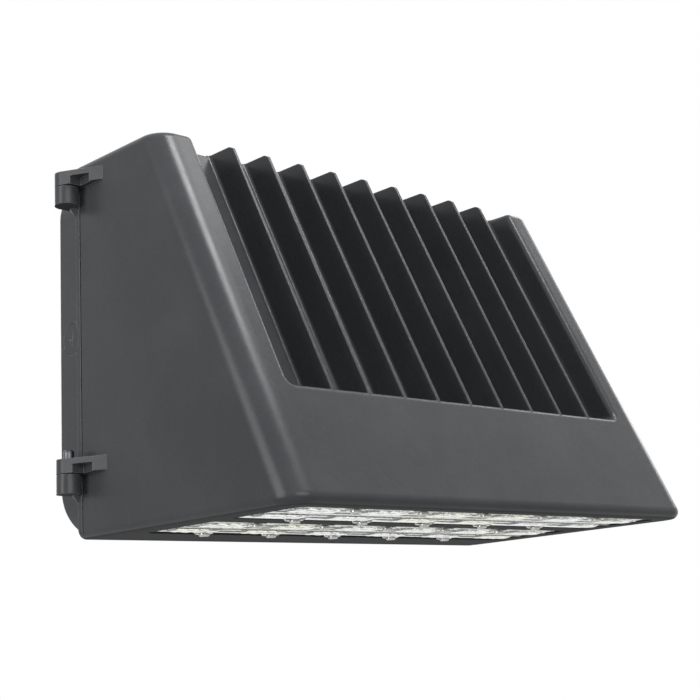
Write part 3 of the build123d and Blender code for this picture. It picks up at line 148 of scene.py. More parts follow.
def makePowderCoat(name, look):
    material, tree, place = startMaterial(name)
    cloud = addNode(tree, "TexNoise", {}, {
        "Vector": place, "Scale": 1 / look["cloudSize"], "Detail": 4.0, "Roughness": 0.6})
    grain = addNode(tree, "TexNoise", {}, {"Vector": place, "Scale": 1 / look["grainSize"], "Detail": 1.0})
    smear = addNode(tree, "TexNoise", {}, {"Vector": place, "Scale": 1 / look["smearSize"], "Detail": 3.0})
    peel = addNode(tree, "TexNoise", {}, {"Vector": place, "Scale": 1 / look["peelSize"], "Detail": 1.5})
    normal = addNode(tree, "NewGeometry").outputs["Normal"]
    height = heightOfFacing(tree, normal)
    base = addNode(tree, "ValToRGB", {"stops": list(zip(look["colorStops"], look["colors"]))},
                   {"Fac": cloud.outputs["Fac"]})
    speckle = addNode(tree, "MapRange", {}, {
        "Value": grain.outputs["Fac"],
        "From Min": look["grainReach"][0], "From Max": look["grainReach"][1],
        "To Min": 0.0, "To Max": look["rubbedShare"]})
    speckled = addNode(tree, "Mix", {"data_type": "RGBA"}, {
        "Factor": speckle.outputs["Result"], "A": base.outputs["Color"], "B": hexColor(look["rubbed"])})
    dusty = addNode(tree, "Math", {"operation": "MULTIPLY"}, {0: height, 1: smear.outputs["Fac"]})
    dust = addNode(tree, "MapRange", {}, {
        "Value": dusty.outputs["Value"],
        "From Min": look["dustReach"][0], "From Max": look["dustReach"][1],
        "To Min": 0.0, "To Max": look["dustShare"]})
    dusted = addNode(tree, "Mix", {"data_type": "RGBA"}, {
        "Factor": dust.outputs["Result"], "A": speckled.outputs["Result"], "B": hexColor(look["dust"])})
    satin = addNode(tree, "MapRange", {}, {
        "Value": smear.outputs["Fac"],
        "From Min": look["smearReach"][0], "From Max": look["smearReach"][1],
        "To Min": look["roughness"][0], "To Max": look["roughness"][1]})
    steep = addNode(tree, "Math", {"operation": "ABSOLUTE"}, {0: height})
    level = addNode(tree, "MapRange", {}, {
        "Value": steep.outputs["Value"],
        "From Min": look["levelReach"][0], "From Max": look["levelReach"][1],
        "To Min": 0.0, "To Max": look["levelRoughness"]})
    rough = addNode(tree, "Math", {"operation": "MAXIMUM"}, {
        0: satin.outputs["Result"], 1: level.outputs["Result"]})
    rounded = addNode(tree, "Bevel", {"samples": look["edgeSamples"]}, {"Radius": look["edgeHighlightWidth"]})
    turned = addNode(tree, "VectorMath", {"operation": "DOT_PRODUCT"}, {
        0: normal, 1: rounded.outputs["Normal"]})
    # edge mask: where the rounded normal turns from the flat one, the paler colour paints a highlight
    # along sharp edges
    edge = addNode(tree, "MapRange", {}, {
        "Value": turned.outputs["Value"],
        "From Min": look["edgeHighlightTurn"][0], "From Max": look["edgeHighlightTurn"][1],
        "To Min": 0.0, "To Max": 1.0})
    color = addNode(tree, "Mix", {"data_type": "RGBA"}, {
        "Factor": edge.outputs["Result"], "A": dusted.outputs["Result"], "B": hexColor(look["edge"])})
    bump = addNode(tree, "Bump", {}, {
        "Height": peel.outputs["Fac"], "Distance": look["peelDepth"], "Strength": look["peelStrength"],
        "Normal": rounded.outputs["Normal"]})
    closeMaterial(tree, {
        "Base Color": color.outputs["Result"], "Roughness": rough.outputs["Value"],
        "Normal": bump.outputs["Normal"], "IOR": 1.5, "Specular IOR Level": look["specular"]})
    return material


coverNodes(["front_housing", "back_box", "conduit_plug_left", "conduit_plug_right", "conduit_plug_top"],
           makePowderCoat("satinPowderCoat", powderCoat))
print("powder coat done")


# Plain finishes: two close colours in soft clouds, a grain in the roughness, and a fine relief.
# cloud is a size in mm and relief a size and a depth in mm. stretch makes clouds, grain and relief
# longer along an axis, as rolling, drawing or extruding does
finishes = {
    # silicone rubber, moulded: matt, a little lighter where it is rubbed
    "blackSilicone": {
        "nodes": ["housing_gasket", "cable_grommet"],
        "colors": ("#161616", "#232322"), "roughness": (0.6, 0.8), "cloud": 8, "relief": (0.6, 0.03),
        "ior": 1.41},
    # silicone rubber, moulded, with a milky look
    "whiteSilicone": {
        "nodes": ["lens_gasket_front", "lens_gasket_rear", "led_grommet_front", "led_grommet_rear"],
        "colors": ("#d8d8d2", "#e4e4df"), "roughness": (0.5, 0.65), "cloud": 6, "relief": (0.5, 0.02),
        "ior": 1.41},
    # stainless steel, cold headed: bright, with small duller marks from the header
    "stainlessSteel": {
        "nodes": ["lens_screws_front", "lens_screws_rear", "closing_screw_upper", "closing_screw_lower"],
        "colors": ("#a9a8a4", "#c4c3bf"), "roughness": (0.22, 0.38), "cloud": 1.5, "relief": (0.35, 0.006),
        "metal": 1.0},
    # hardened steel, blackened in oil: dark grey, soft shine
    "blackenedSteel": {
        "nodes": ["hinge_pin_upper", "hinge_pin_lower"],
        "colors": ("#3f4043", "#56575a"), "roughness": (0.34, 0.5), "cloud": 3, "relief": (0.4, 0.008),
        "metal": 1.0},
    # spring steel, phosphated: dark, nearly matt
    "phosphatedSteel": {
        "nodes": ["retaining_collar_upper", "retaining_collar_lower"],
        "colors": ("#37373a", "#4b4b4d"), "roughness": (0.5, 0.65), "cloud": 2, "relief": (0.3, 0.008),
        "metal": 1.0},
    # steel sheet and screws, zinc plated and blue passivated: pale with a cold blue cast
    "zincPlatedSteel": {
        "nodes": ["driver_bracket", "bracket_screws", "driver_screws", "driver_nuts"],
        "colors": ("#a2a6ad", "#c0c3c6"), "roughness": (0.26, 0.46), "cloud": 14, "relief": (0.8, 0.01),
        "metal": 1.0, "stretch": (0.25, 1, 1)},
    # steel screws, brass plated: yellow, slightly tarnished in patches
    "brassPlatedSteel": {
        "nodes": ["earth_screw", "earth_washer", "terminal_screws"],
        "colors": ("#b08d48", "#cfae64"), "roughness": (0.25, 0.42), "cloud": 2.5, "relief": (0.3, 0.006),
        "metal": 1.0},
    # aluminium, extruded and anodised: fine lines along its length
    "extrudedAluminium": {
        "nodes": ["driver_case"],
        "colors": ("#a9abac", "#c2c3c3"), "roughness": (0.3, 0.45), "cloud": 20, "relief": (0.9, 0.02),
        "metal": 1.0, "stretch": (0.03, 1, 1)},
    # nylon with glass fibre, moulded: black with a dry grain
    "glassFilledNylon": {
        "nodes": ["driver_cap_left", "driver_cap_right"],
        "colors": ("#1d1d1e", "#2b2b2b"), "roughness": (0.45, 0.62), "cloud": 5, "relief": (0.5, 0.03),
        "ior": 1.53},
    # polyamide, moulded without colour: warm off-white, waxy
    "naturalNylon": {
        "nodes": ["terminal_block"],
        "colors": ("#d8d2bd", "#e3decb"), "roughness": (0.35, 0.5), "cloud": 7, "relief": (0.7, 0.015),
        "ior": 1.53, "soft": 0.15},
    # PVC insulation, extruded in three colours: smooth, with a slight ripple
    "blackPvc": {
        "nodes": ["driver_lead_live"],
        "colors": ("#1a1a1b", "#262626"), "roughness": (0.35, 0.5), "cloud": 5, "relief": (1.2, 0.02),
        "ior": 1.53},
    "whitePvc": {
        "nodes": ["driver_lead_neutral", "led_cable_front", "led_cable_rear"],
        "colors": ("#dadad6", "#e8e8e5"), "roughness": (0.35, 0.5), "cloud": 6, "relief": (1.2, 0.02),
        "ior": 1.53},
    "greenPvc": {
        "nodes": ["driver_lead_earth"],
        "colors": ("#1f6b35", "#2a7f42"), "roughness": (0.35, 0.5), "cloud": 5, "relief": (1.2, 0.02),
        "ior": 1.53},
}
finishPattern = {
    "colorStops": (0.35, 0.65),  # of the clouds
    "grainReach": (0.3, 0.7),
    "reliefStrength": 0.7,
    "softDepth": 1.5 * mm,  # how far light gets into a waxy plastic
}


def makeFinish(name, look, pattern):
    material, tree, place = startMaterial(name)
    stretched = addNode(tree, "Mapping", {}, {"Vector": place, "Scale": look.get("stretch", (1, 1, 1))})
    along = stretched.outputs["Vector"]
    reliefSize, reliefDepth = (value * mm for value in look["relief"])
    cloud = addNode(tree, "TexNoise", {}, {
        "Vector": along, "Scale": 1 / (look["cloud"] * mm), "Detail": 4.0})
    grain = addNode(tree, "TexNoise", {}, {
        "Vector": along, "Scale": 1 / reliefSize, "Detail": 3.0, "Roughness": 0.6})
    color = addNode(tree, "ValToRGB", {"stops": list(zip(pattern["colorStops"], look["colors"]))},
                    {"Fac": cloud.outputs["Fac"]})
    rough = addNode(tree, "MapRange", {}, {
        "Value": grain.outputs["Fac"],
        "From Min": pattern["grainReach"][0], "From Max": pattern["grainReach"][1],
        "To Min": look["roughness"][0], "To Max": look["roughness"][1]})
    bump = addNode(tree, "Bump", {}, {
        "Height": grain.outputs["Fac"], "Distance": reliefDepth, "Strength": pattern["reliefStrength"]})
    sockets = {"Base Color": color.outputs["Color"], "Roughness": rough.outputs["Result"],
               "Normal": bump.outputs["Normal"], "Metallic": look.get("metal", 0.0)}
    if "ior" in look:
        sockets["IOR"] = look["ior"]
    if "soft" in look:
        sockets["Subsurface Weight"] = look["soft"]
        sockets["Subsurface Scale"] = pattern["softDepth"]
    closeMaterial(tree, sockets)
    return material


for finishName, finishLook in finishes.items():
    coverNodes(finishLook["nodes"], makeFinish(finishName, finishLook, finishPattern))
print("plain finishes done")


# Solder mask over the copper of a metal-core board: gloss white, copper areas stand a hair proud,
# with bare aluminium on the cut edges, and grey lines painted between its rows of LEDs as the shade of
# grooves
solderMask = {
    "colors": ("#d6d8d2", "#e2e4df"),
    "colorStops": (0.3, 0.7),
    "cloudSize": 30 * mm,
    "edge": "#a8a9aa",
    "edgeReach": (0.5, 0.6),  # 0 is an upright face, 1 a level one
    "groove": "#6f716f",
    "grooveWidth": 1.9 * mm,
    "grooveFade": (0.35, 0.5),  # of its width, where the painted groove shade starts to fade and where it ends
    "groovesBetween": 7,  # groove pitches from the middle of one board to the middle of the other
    "trackPitch": 6.0 * mm,
    "trackLength": 27.0 * mm,
    "trackGap": 0.5 * mm,
    "trackSoftness": 0.3,
    "copperDepth": 0.05 * mm,
    "roughness": (0.17, 0.32),
}


def rowPlaces(nodeName, rowsBetween):
    # middle of the front one of two nodes, and the pitch that divides their distance into equal rows
    boxes = [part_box(f"{nodeName}_{side}") for side in ("front", "rear")]
    middles = [(low.y + high.y) / 2 for low, high in boxes]
    return middles[0], (middles[1] - middles[0]) / rowsBetween


def makeSolderMask(name, look):
    material, tree, place = startMaterial(name)
    cloud = addNode(tree, "TexNoise", {}, {"Vector": place, "Scale": 1 / look["cloudSize"], "Detail": 3.0})
    paint = addNode(tree, "ValToRGB", {"stops": list(zip(look["colorStops"], look["colors"]))},
                    {"Fac": cloud.outputs["Fac"]})
    tracks = addNode(tree, "TexBrick", {"offset": 0.5}, {
        "Vector": place, "Scale": 1.0, "Mortar Size": look["trackGap"] / 2,
        "Mortar Smooth": look["trackSoftness"], "Brick Width": look["trackLength"],
        "Row Height": look["trackPitch"]})
    height = heightOfFacing(tree, addNode(tree, "NewGeometry").outputs["Normal"])
    face = addNode(tree, "Math", {"operation": "ABSOLUTE"}, {0: height})
    cut = addNode(tree, "MapRange", {}, {
        "Value": face.outputs["Value"],
        "From Min": look["edgeReach"][0], "From Max": look["edgeReach"][1],
        "To Min": 1.0, "To Max": 0.0})
    middle, pitch = rowPlaces("led_board", look["groovesBetween"])
    along = addNode(tree, "SeparateXYZ", {}, {"Vector": place}).outputs["Y"]
    fromRow = addNode(tree, "Math", {"operation": "SUBTRACT"}, {0: along, 1: middle + pitch / 2})
    fromGroove = addNode(tree, "Math", {"operation": "PINGPONG"}, {
        0: fromRow.outputs["Value"], 1: pitch / 2})
    # painted shade: grey lines between the rows of LEDs, fading out across their width
    groove = addNode(tree, "MapRange", {}, {
        "Value": fromGroove.outputs["Value"],
        "From Min": look["grooveWidth"] * look["grooveFade"][0],
        "From Max": look["grooveWidth"] * look["grooveFade"][1],
        "To Min": 1.0, "To Max": 0.0})
    grooved = addNode(tree, "Mix", {"data_type": "RGBA"}, {
        "Factor": groove.outputs["Result"], "A": paint.outputs["Color"], "B": hexColor(look["groove"])})
    color = addNode(tree, "Mix", {"data_type": "RGBA"}, {
        "Factor": cut.outputs["Result"], "A": grooved.outputs["Result"], "B": hexColor(look["edge"])})
    bump = addNode(tree, "Bump", {"invert": True}, {
        "Height": tracks.outputs["Fac"], "Distance": look["copperDepth"]})
    gloss = addNode(tree, "MapRange", {}, {
        "Value": cloud.outputs["Fac"], "To Min": look["roughness"][0], "To Max": look["roughness"][1]})
    closeMaterial(tree, {
        "Base Color": color.outputs["Result"], "Metallic": cut.outputs["Result"],
        "Roughness": gloss.outputs["Result"], "Normal": bump.outputs["Normal"], "IOR": 1.55})
    return material


coverNodes(["led_board_front", "led_board_rear"], makeSolderMask("whiteSolderMask", solderMask))
print("solder mask done")


# Clear polycarbonate, injection moulded: glass-clear and slightly wavy, faintly hazed by handling,
# with a yellow cast painted in places for the phosphor seen through it
clearPolycarbonate = {
    "colors": ("#f5f8f5", "#f2f5df"),
    "colorStops": (0.45, 0.62),  # of the painted phosphor cast
    "phosphorCastSize": 110 * mm,
    "roughness": (0.02, 0.06),
    "hazeSize": 3 * mm,
    "hazeReach": (0.35, 0.75),
    "waveSize": 14 * mm,
    "waveDepth": 0.03 * mm,
    "waveStrength": 0.5,
}


def makePolycarbonate(name, look):
    material, tree, place = startMaterial(name)
    wave = addNode(tree, "TexNoise", {}, {"Vector": place, "Scale": 1 / look["waveSize"], "Detail": 2.0})
    haze = addNode(tree, "TexNoise", {}, {"Vector": place, "Scale": 1 / look["hazeSize"], "Detail": 4.0})
    rough = addNode(tree, "MapRange", {}, {
        "Value": haze.outputs["Fac"],
        "From Min": look["hazeReach"][0], "From Max": look["hazeReach"][1],
        "To Min": look["roughness"][0], "To Max": look["roughness"][1]})
    # patches of a painted yellow cast in the clear plate, for the phosphor seen through it
    patch = addNode(tree, "TexNoise", {}, {"Vector": place, "Scale": 1 / look["phosphorCastSize"], "Detail": 1.0})
    paintedPhosphorCast = addNode(tree, "ValToRGB", {"stops": list(zip(look["colorStops"], look["colors"]))},
                   {"Fac": patch.outputs["Fac"]})
    bump = addNode(tree, "Bump", {}, {
        "Height": wave.outputs["Fac"], "Distance": look["waveDepth"], "Strength": look["waveStrength"]})
    closeMaterial(tree, {
        "Base Color": paintedPhosphorCast.outputs["Color"], "Roughness": rough.outputs["Result"],
        "Normal": bump.outputs["Normal"], "Transmission Weight": 1.0, "IOR": 1.585})
    return material


# Lens module: plate with a skirt, screw lugs along both edges, and two rows of raised optics,
# each over four LEDs. Lengths follow the CAD node that it replaces
lensModule = {
    "modules": {"front": -6.0 * mm, "rear": -11.0 * mm},  # middle of each module's lug columns
    "lugOut": 2.6 * mm,  # lugs beyond the plate's long edges
    "lugInset": 3.4 * mm,
    "lugRadius": 6.0 * mm,
    "lugPitch": 54.0 * mm,
    "lugCount": 5,
    "lugDrop": 1.0 * mm,
    "lugFall": 0.1,  # of its radius, over which a lug falls to the plate
    "lugReach": 1.02,  # radii either side of a lug with columns of their own
    "lugColumns": 21,
    "cornerRadius": 5.0 * mm,
    "edgeRadius": 0.6 * mm,
    "edgeTurns": (30, 60, 90),  # degrees round the edge, one loop each
    "skirt": 2.4 * mm,
    "plate": 1.8 * mm,
    "hollowShare": 0.6,  # of an optic's height, hollowed out behind it
    "opticLength": 36.0 * mm,
    "opticWidth": 15.2 * mm,
    "opticHeight": 1.5 * mm,
    "opticWaist": 0.18,  # of its height, either way, from an optic's LEDs to between them
    "ledPitch": 9.0 * mm,
    "ledsPerOptic": 4,
    "ridgesBetween": 7,  # ridge pitches from the middle of one module to the middle of the other
    "ridgePlaces": (-1.5, -0.5, 0.5, 1.5),  # in pitches from the module's middle
    "ridgeHeight": 0.5 * mm,
    "ridgeWidth": 1.5 * mm,
    "ridgeRows": 7,
    "columns": 400,  # of the plate's grid
    "rows": 60,
    "rowBend": 0.86,  # 0 spaces the rows evenly, 1 crowds them most at the long edges
}


def opticPlaces(centreY, width, look):
    # optics stand in two rows, a quarter of the width off the middle, on the lugs' pitch about X = 0
    x = (np.arange(look["lugCount"] + 1) - look["lugCount"] / 2) * look["lugPitch"]
    y = centreY + np.array([-width / 4, width / 4])
    return [(float(a), float(b)) for b in y for a in x]


def lugMask(x, y, lugs, look):
    # 1 within a lug, and 1 - f^2 over the last part of its radius, with f from 0 to 1 across that part
    distance = np.min([np.hypot(x - a, y - b) for a, b in lugs], axis=0)
    fall = (distance / look["lugRadius"] - 1 + look["lugFall"]) / look["lugFall"]
    return 1 - np.clip(fall, 0, 1) ** 2


def opticHeight(x, y, optics, look):
    # a slot-shaped dome, height * sqrt(1 - (d / half width)^2) with d from the slot's middle line,
    # times 1 - waist - waist * cos(2 pi x / LED pitch), which waists it between its LEDs
    half = look["opticWidth"] / 2
    line = look["opticLength"] / 2 - half
    rise = np.zeros_like(x)
    for a, b in optics:
        distance = np.hypot(np.maximum(np.abs(x - a) - line, 0), y - b)
        dome = np.sqrt(np.clip(1 - (distance / half) ** 2, 0, 1))
        wave = look["opticWaist"] * np.cos(2 * np.pi * (x - a) / look["ledPitch"])
        rise = np.maximum(rise, look["opticHeight"] * dome * (1 - look["opticWaist"] - wave))
    return rise


def edgeLoop(grid):
    # the grid's border as one closed loop of points: first row, last column, last row, first column
    return np.concatenate([grid[0, :-1], grid[:-1, -1], grid[-1, :0:-1], grid[:0:-1, 0]])


def lensGrid(halfLength, halfWidth, lugX, look):
    # columns are even, with more of them across each lug, and rows are t = sin(pi * bend * s) over its
    # greatest value, s from -1/2 to 1/2, with more of them across each ridge
    chord = np.linspace(-look["lugReach"], look["lugReach"], look["lugColumns"]) * look["lugRadius"]
    even = np.linspace(-halfLength, halfLength, look["columns"])
    x = np.unique(np.round(np.concatenate([even, (lugX[:, None] + chord).ravel()]), 5))
    rows = np.linspace(-0.5, 0.5, look["rows"])
    crowded = np.sin(rows * np.pi * look["rowBend"]) / math.sin(np.pi * look["rowBend"] / 2)
    ridges = np.array(look["ridgePlaces"]) * rowPlaces("lens", look["ridgesBetween"])[1]
    across = np.linspace(-1, 1, look["ridgeRows"]) * look["ridgeWidth"] / 2
    ridgeRows = (ridges[:, None] + across).ravel() / halfWidth
    t = np.unique(np.round(np.concatenate([crowded, ridgeRows]), 5))
    return x, t, ridges


def makeLens(side, look):
    # plate as a grid (u, t): x = u * half length, y = centre + t * Y(x), where Y is the half width with
    # rounded corners and round lugs; its border then runs over a rounded edge and up a straight skirt,
    # and the inside follows in the same way, one skirt's thickness further in. Ridges run along X between
    # the rows of LEDs, each height * cos(pi * d / width) high, with d from its middle line
    low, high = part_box("lens_" + side)
    halfLength = high.x
    centreY = (low.y + high.y) / 2
    halfWidth = (high.y - low.y) / 2 - look["lugOut"]
    plateZ = low.z + look["opticHeight"]
    lugSteps = np.arange(look["lugCount"]) - (look["lugCount"] - 1) / 2
    lugX = look["modules"][side] + lugSteps * look["lugPitch"]
    lugY = halfWidth - look["lugInset"]
    lugs = [(a, centreY + s * lugY) for a in lugX for s in (-1, 1)]
    optics = opticPlaces(centreY, 2 * halfWidth, look)
    x, t, ridges = lensGrid(halfLength, halfWidth, lugX, look)

    def outline(inset, outward):
        # half width at each x: corners are round, and a lug adds its arc outside or takes it inside
        corner = np.clip(np.abs(x) - (halfLength - look["cornerRadius"]), 0, look["cornerRadius"])
        edge = halfWidth - look["cornerRadius"] + np.sqrt(look["cornerRadius"] ** 2 - corner ** 2)
        arcs = [np.sqrt(np.clip(look["lugRadius"] ** 2 - (x - a) ** 2, 0, None)) for a in lugX]
        bulge = np.max(arcs, axis=0)
        if outward:
            return np.maximum(edge, lugY + bulge * (bulge > 0)) - inset
        return np.where(bulge > 0, np.minimum(edge - inset, lugY - bulge), edge - inset)

    def surface(inset, outward):
        across = outline(inset, outward)
        gridX = np.repeat((x * (halfLength - inset) / halfLength)[:, None], len(t), 1)
        return gridX, centreY + across[:, None] * t[None, :]

    outerX, outerY = surface(look["edgeRadius"], True)
    fromRidge = np.min([np.abs(outerY - centreY - r) for r in ridges], axis=0)
    ridge = look["ridgeHeight"] * np.cos(np.clip(fromRidge / look["ridgeWidth"], 0, 0.5) * np.pi)
    outerZ = plateZ - np.maximum(opticHeight(outerX, outerY, optics, look), ridge)
    outerZ = np.minimum(outerZ, plateZ - look["lugDrop"] * lugMask(outerX, outerY, lugs, look))
    innerX, innerY = surface(look["skirt"], False)
    hollow = look["hollowShare"] * opticHeight(innerX, innerY, optics, look)
    outer = np.stack([outerX, outerY, outerZ], -1)
    inner = np.stack([innerX, innerY, plateZ + look["plate"] + hollow], -1)
    loops = [edgeLoop(outer)]
    for turn in look["edgeTurns"]:
        inset = look["edgeRadius"] * (1 - math.sin(math.radians(turn)))
        lift = look["edgeRadius"] * (1 - math.cos(math.radians(turn)))
        loop = edgeLoop(np.stack([*surface(inset, True), outerZ], -1))
        loop[:, 2] += lift
        loops.append(loop)
    top = loops[-1].copy()
    top[:, 2] = high.z
    innerTop = edgeLoop(inner)
    innerTop[:, 2] = high.z
    loops += [top, innerTop, edgeLoop(inner)]
    return joinShell(outer, loops, inner)


def joinShell(outer, loops, inner):
    # one closed shell: outer grid, the loops from its border to the inner grid's border, inner grid
    rows, columns = outer.shape[:2]
    index = np.arange(rows * columns).reshape(rows, columns)
    size = rows * columns
    border = edgeLoop(index[..., None])[:, 0]
    count = len(border)
    between = [2 * size + k * count + np.arange(count) for k in range(len(loops) - 2)]
    rings = [border, *between, size + border]
    corners = [index[:-1, :-1], index[:-1, 1:], index[1:, 1:], index[1:, :-1]]
    cells = np.stack(corners, -1).reshape(-1, 4)
    quads = [cells, size + cells[:, ::-1]]
    for near, far in zip(rings, rings[1:]):
        quads.append(np.stack([near, far, np.roll(far, -1), np.roll(near, -1)], -1))
    points = np.concatenate([outer.reshape(-1, 3), inner.reshape(-1, 3), *loops[1:-1]])
    return points, np.concatenate(quads)


def signedVolume(points, quads):
    # sum over triangles of a . (b x c) / 6, positive where the faces look outwards
    a, b, c, d = (points[quads[:, k]] for k in range(4))
    return (a * (np.cross(b, c) + np.cross(c, d))).sum() / 6


def makePiece(name, points, quads, materials, body, stands, smooth=True, pick=None):
    # a mesh with its faces outwards; pick is the number of each face's material
    if signedVolume(points, quads) < 0:
        quads = quads[:, ::-1]
    mesh = bpy.data.meshes.new(name)
    mesh.from_pydata(points.tolist(), [], quads.tolist())
    mesh.polygons.foreach_set("use_smooth", np.full(len(quads), smooth))
    for material in materials:
        mesh.materials.append(material)
    if pick is not None:
        mesh.polygons.foreach_set("material_index", pick)
    mesh.update()
    piece = bpy.data.objects.new(name, mesh)
    bpy.context.scene.collection.objects.link(piece)
    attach(piece, body)
    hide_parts(*stands)


polycarbonate = makePolycarbonate("clearPolycarbonate", clearPolycarbonate)
for moduleSide in lensModule["modules"]:
    lensPoints, lensQuads = makeLens(moduleSide, lensModule)
    makePiece("lensModule_" + moduleSide, lensPoints, lensQuads, [polycarbonate], "front_housing",
              ["lens_" + moduleSide])
    print("lens module", moduleSide, len(lensQuads), "faces")


# LED package: white moulded frame round a well of silicone with yellow phosphor
ledPackage = {
    "frame": ("#dcdcd8", "#e8e8e4"),
    "frameRoughness": (0.3, 0.42),
    "phosphor": ("#d9b93a", "#e6cc58"),
    "phosphorRoughness": (0.15, 0.27),
    "colorStops": (0.35, 0.65),
    "cloudSize": 0.8 * mm,
    "reliefDepth": 0.01 * mm,
    "size": 3.0 * mm,
    "taper": 0.08 * mm,
    "wellRadius": 1.25 * mm,
    "wellDepth": 0.15 * mm,
    "wellFloor": 0.94,  # radius of the well's floor over that of its edge
    "sides": 16,
}


def makeLedMaterial(name, part, look):
    material, tree, place = startMaterial(name)
    roughness = look[part + "Roughness"]
    cloud = addNode(tree, "TexNoise", {}, {"Vector": place, "Scale": 1 / look["cloudSize"], "Detail": 3.0})
    color = addNode(tree, "ValToRGB", {"stops": list(zip(look["colorStops"], look[part]))},
                    {"Fac": cloud.outputs["Fac"]})
    gloss = addNode(tree, "MapRange", {}, {
        "Value": cloud.outputs["Fac"], "To Min": roughness[0], "To Max": roughness[1]})
    bump = addNode(tree, "Bump", {}, {"Height": cloud.outputs["Fac"], "Distance": look["reliefDepth"]})
    closeMaterial(tree, {
        "Base Color": color.outputs["Color"], "Roughness": gloss.outputs["Result"],
        "Normal": bump.outputs["Normal"], "IOR": 1.41})
    return material


def makeLeds(side, look, lens):
    # each package is a stack of rings: square at the board, slightly smaller square at its face, round
    # well edge and round well floor, with a flat cap at both ends; a square is half / max(|cos|, |sin|)
    low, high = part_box("led_chips_" + side)
    lensLow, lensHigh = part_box("lens_" + side)
    width = lensHigh.y - lensLow.y - 2 * lens["lugOut"]
    optics = np.array(opticPlaces((lensLow.y + lensHigh.y) / 2, width, lens))
    steps = (np.arange(lens["ledsPerOptic"]) - (lens["ledsPerOptic"] - 1) / 2) * lens["ledPitch"]
    places = np.stack([(optics[:, :1] + steps).ravel(), np.repeat(optics[:, 1], len(steps))], -1)
    sides = look["sides"]
    angle = np.arange(sides) * 2 * np.pi / sides
    square = look["size"] / 2 / np.maximum(np.abs(np.cos(angle)), np.abs(np.sin(angle)))
    well = np.full_like(angle, look["wellRadius"])
    radii = [square, square * (1 - 2 * look["taper"] / look["size"]), well, well * look["wellFloor"]]
    depths = [high.z, low.z, low.z, low.z + look["wellDepth"]]
    rings = [np.stack([radius * np.cos(angle), radius * np.sin(angle), np.full_like(angle, z)], -1)
             for radius, z in zip(radii, depths)]
    package = np.concatenate(rings)
    shift = np.concatenate([places, np.zeros((len(places), 1))], 1)
    points = (package[None] + shift[:, None]).reshape(-1, 3)
    near = np.arange(sides)
    after = np.roll(near, -1)
    wall = np.stack([near, after, sides + after, sides + near], -1)
    walls = [k * sides + wall for k in range(len(rings) - 1)]
    half = np.arange(sides // 2 - 1)
    cap = np.stack([half, half + 1, sides - 2 - half, sides - 1 - half], -1)
    floor = (len(rings) - 1) * sides + cap
    quads = np.concatenate([*walls, cap[:, ::-1], floor])
    kinds = np.arange(len(quads)) >= len(quads) - len(cap)  # 1, the phosphor, on the well's floor
    every = (quads[None] + (np.arange(len(places)) * len(package))[:, None, None]).reshape(-1, 4)
    return points, every, np.tile(kinds.astype(int), len(places))


ledMaterials = [makeLedMaterial("mouldedLedFrame", "frame", ledPackage),
                makeLedMaterial("phosphorInSilicone", "phosphor", ledPackage)]
for moduleSide in lensModule["modules"]:
    ledPoints, ledQuads, ledKinds = makeLeds(moduleSide, ledPackage, lensModule)
    makePiece("ledPackages_" + moduleSide, ledPoints, ledQuads, ledMaterials, "front_housing",
              ["led_chips_" + moduleSide], smooth=False, pick=ledKinds)
print("leds done")


# Studio: plain pale floor and world, and soft lamps at a plain level
studio = {
    "floorDrop": 1.7,
    "floorSize": 40.0,
    "floorColor": "#e9e9e7",
    "worldStrength": 0.18,
    "lamps": {  # place, target, size in metres and power in watts of each softbox
        "overheadSoftbox": ((0.6, -0.72, 1.7), (0, -0.1, 0), (1.4, 0.6), 16),
        "frontStrip": ((-0.1, -0.93, 1.7), (0, -0.1, 0), (0.55, 0.6), 32),
        "leftSoftbox": ((-1.8, 0.1, 0.25), (0, -0.1, 0), (0.8, 1.3), 22),
        "frontFill": ((-0.9, -1.95, 0.4), (0, -0.1, 0), (1.5, 0.9), 26),
        "rightFill": ((1.7, 0.3, 0.9), (0, -0.1, 0), (1.0, 1.0), 12),
        "rearFill": ((0.6, 1.9, 0.6), (0, 0, 0), (1.2, 1.0), 10),
    },
}

# Camera at the photograph's viewing angle, fitted to its frame
photoCamera = {
    "focal": 1456.741,  # in the frame's pixels
    "frame": 700.0,
    "centreRow": 300.0,  # of the frame, where the camera looks
    "sensor": 36.0,
    "clip": (0.01, 200.0),
    "place": (-673.954, -777.865, -79.918),  # in mm, from the parting plane and the underside
    "partingY": -29.0,
    "bottomZ": -122.0,
    "yaw": 43.219,  # degrees
    "pitch": 13.777,
    "roll": -3.159,
}


def makeCamera(look):
    # forward from yaw and pitch, right and up turned by roll about it
    yaw, pitch, roll = (math.radians(look[key]) for key in ("yaw", "pitch", "roll"))
    forward = Vector((math.sin(yaw) * math.cos(pitch), math.cos(yaw) * math.cos(pitch), math.sin(pitch)))
    right = forward.cross(Vector((0, 0, 1))).normalized()
    up = right.cross(forward)
    rolledRight = math.cos(roll) * right + math.sin(roll) * up
    rolledUp = math.cos(roll) * up - math.sin(roll) * right
    data = bpy.data.cameras.new("photoCamera")
    data.sensor_width = look["sensor"]
    data.lens = look["focal"] * data.sensor_width / look["frame"]
    data.shift_y = (look["centreRow"] - look["frame"] / 2) / look["frame"]
    data.clip_start, data.clip_end = look["clip"]
    camera = bpy.data.objects.new("photoCamera", data)
    bpy.context.scene.collection.objects.link(camera)
    x, y, z = look["place"]
    spot = Vector((x, y + look["partingY"], z + look["bottomZ"])) * mm
    turn = Matrix((rolledRight, rolledUp, -forward)).transposed()
    camera.matrix_world = Matrix.Translation(spot) @ turn.to_4x4()
    bpy.context.scene.camera = camera


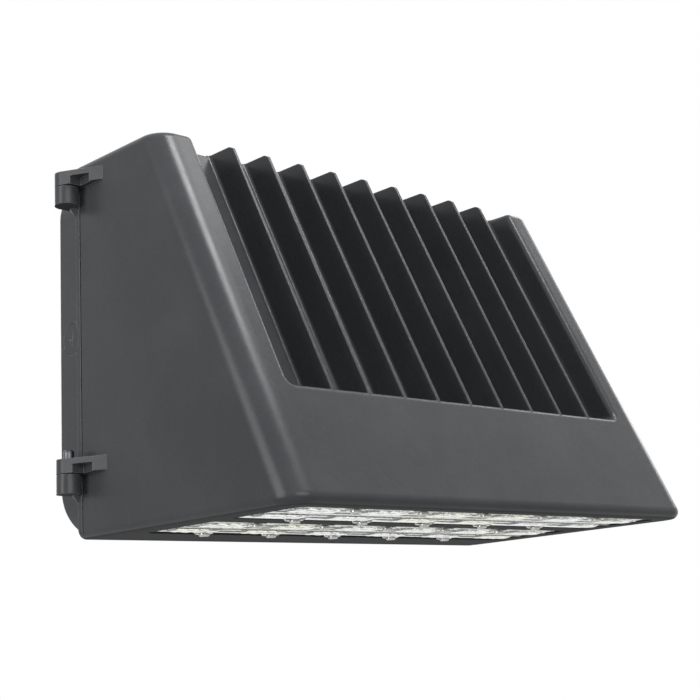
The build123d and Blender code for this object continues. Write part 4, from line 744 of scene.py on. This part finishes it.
def seenAsWhite(tree, shader, white, output):
    # camera, glossy and transmission rays meet plain white, the others the real surface
    rays = addNode(tree, "LightPath").outputs
    direct = addNode(tree, "Math", {"operation": "MAXIMUM"}, {
        0: rays["Is Camera Ray"], 1: rays["Is Glossy Ray"]})
    seen = addNode(tree, "Math", {"operation": "MAXIMUM"}, {
        0: direct.outputs["Value"], 1: rays["Is Transmission Ray"]})
    mix = addNode(tree, "MixShader", {}, {"Fac": seen.outputs["Value"], 1: shader, 2: white})
    addNode(tree, output, {}, {"Surface": mix.outputs["Shader"]})


def makeFloor(look):
    # a flat square under the object, which keeps the lamps' light and shadow for diffuse rays
    half = look["floorSize"] / 2
    z = cadBounds[0].z - look["floorDrop"]
    corners = [(-half, -half, z), (half, -half, z), (half, half, z), (-half, half, z)]
    mesh = bpy.data.meshes.new("floor")
    mesh.from_pydata(corners, [], [(0, 1, 2, 3)])
    floor = bpy.data.objects.new("floor", mesh)
    bpy.context.scene.collection.objects.link(floor)
    material, tree = startMaterial("paleFloor")[:2]
    matt = addNode(tree, "BsdfDiffuse", {}, {"Color": hexColor(look["floorColor"])})
    white = addNode(tree, "Emission", {}, {"Color": (1, 1, 1, 1), "Strength": 1.0})
    seenAsWhite(tree, matt.outputs["BSDF"], white.outputs["Emission"], "OutputMaterial")
    mesh.materials.append(material)


def makeWorld(look):
    world = bpy.data.worlds.new("studioWorld")
    bpy.context.scene.world = world
    world.use_nodes = True
    tree = world.node_tree
    tree.nodes.clear()
    soft = addNode(tree, "Background", {}, {"Color": (1, 1, 1, 1), "Strength": look["worldStrength"]})
    white = addNode(tree, "Background", {}, {"Color": (1, 1, 1, 1), "Strength": 1.0})
    seenAsWhite(tree, soft.outputs["Background"], white.outputs["Background"], "OutputWorld")


def makeLamp(name, place, target, size, power):
    data = bpy.data.lights.new(name, "AREA")
    data.shape = "RECTANGLE"
    data.size, data.size_y = size
    data.energy = power
    lamp = bpy.data.objects.new(name, data)
    bpy.context.scene.collection.objects.link(lamp)
    lamp.location = place
    lamp.rotation_euler = (Vector(target) - Vector(place)).to_track_quat("-Z", "Y").to_euler()


makeCamera(photoCamera)
makeFloor(studio)
makeWorld(studio)
for lampName, lampLook in studio["lamps"].items():
    makeLamp(lampName, *lampLook)
bpy.context.scene.view_settings.view_transform = "Standard"
print("studio done")
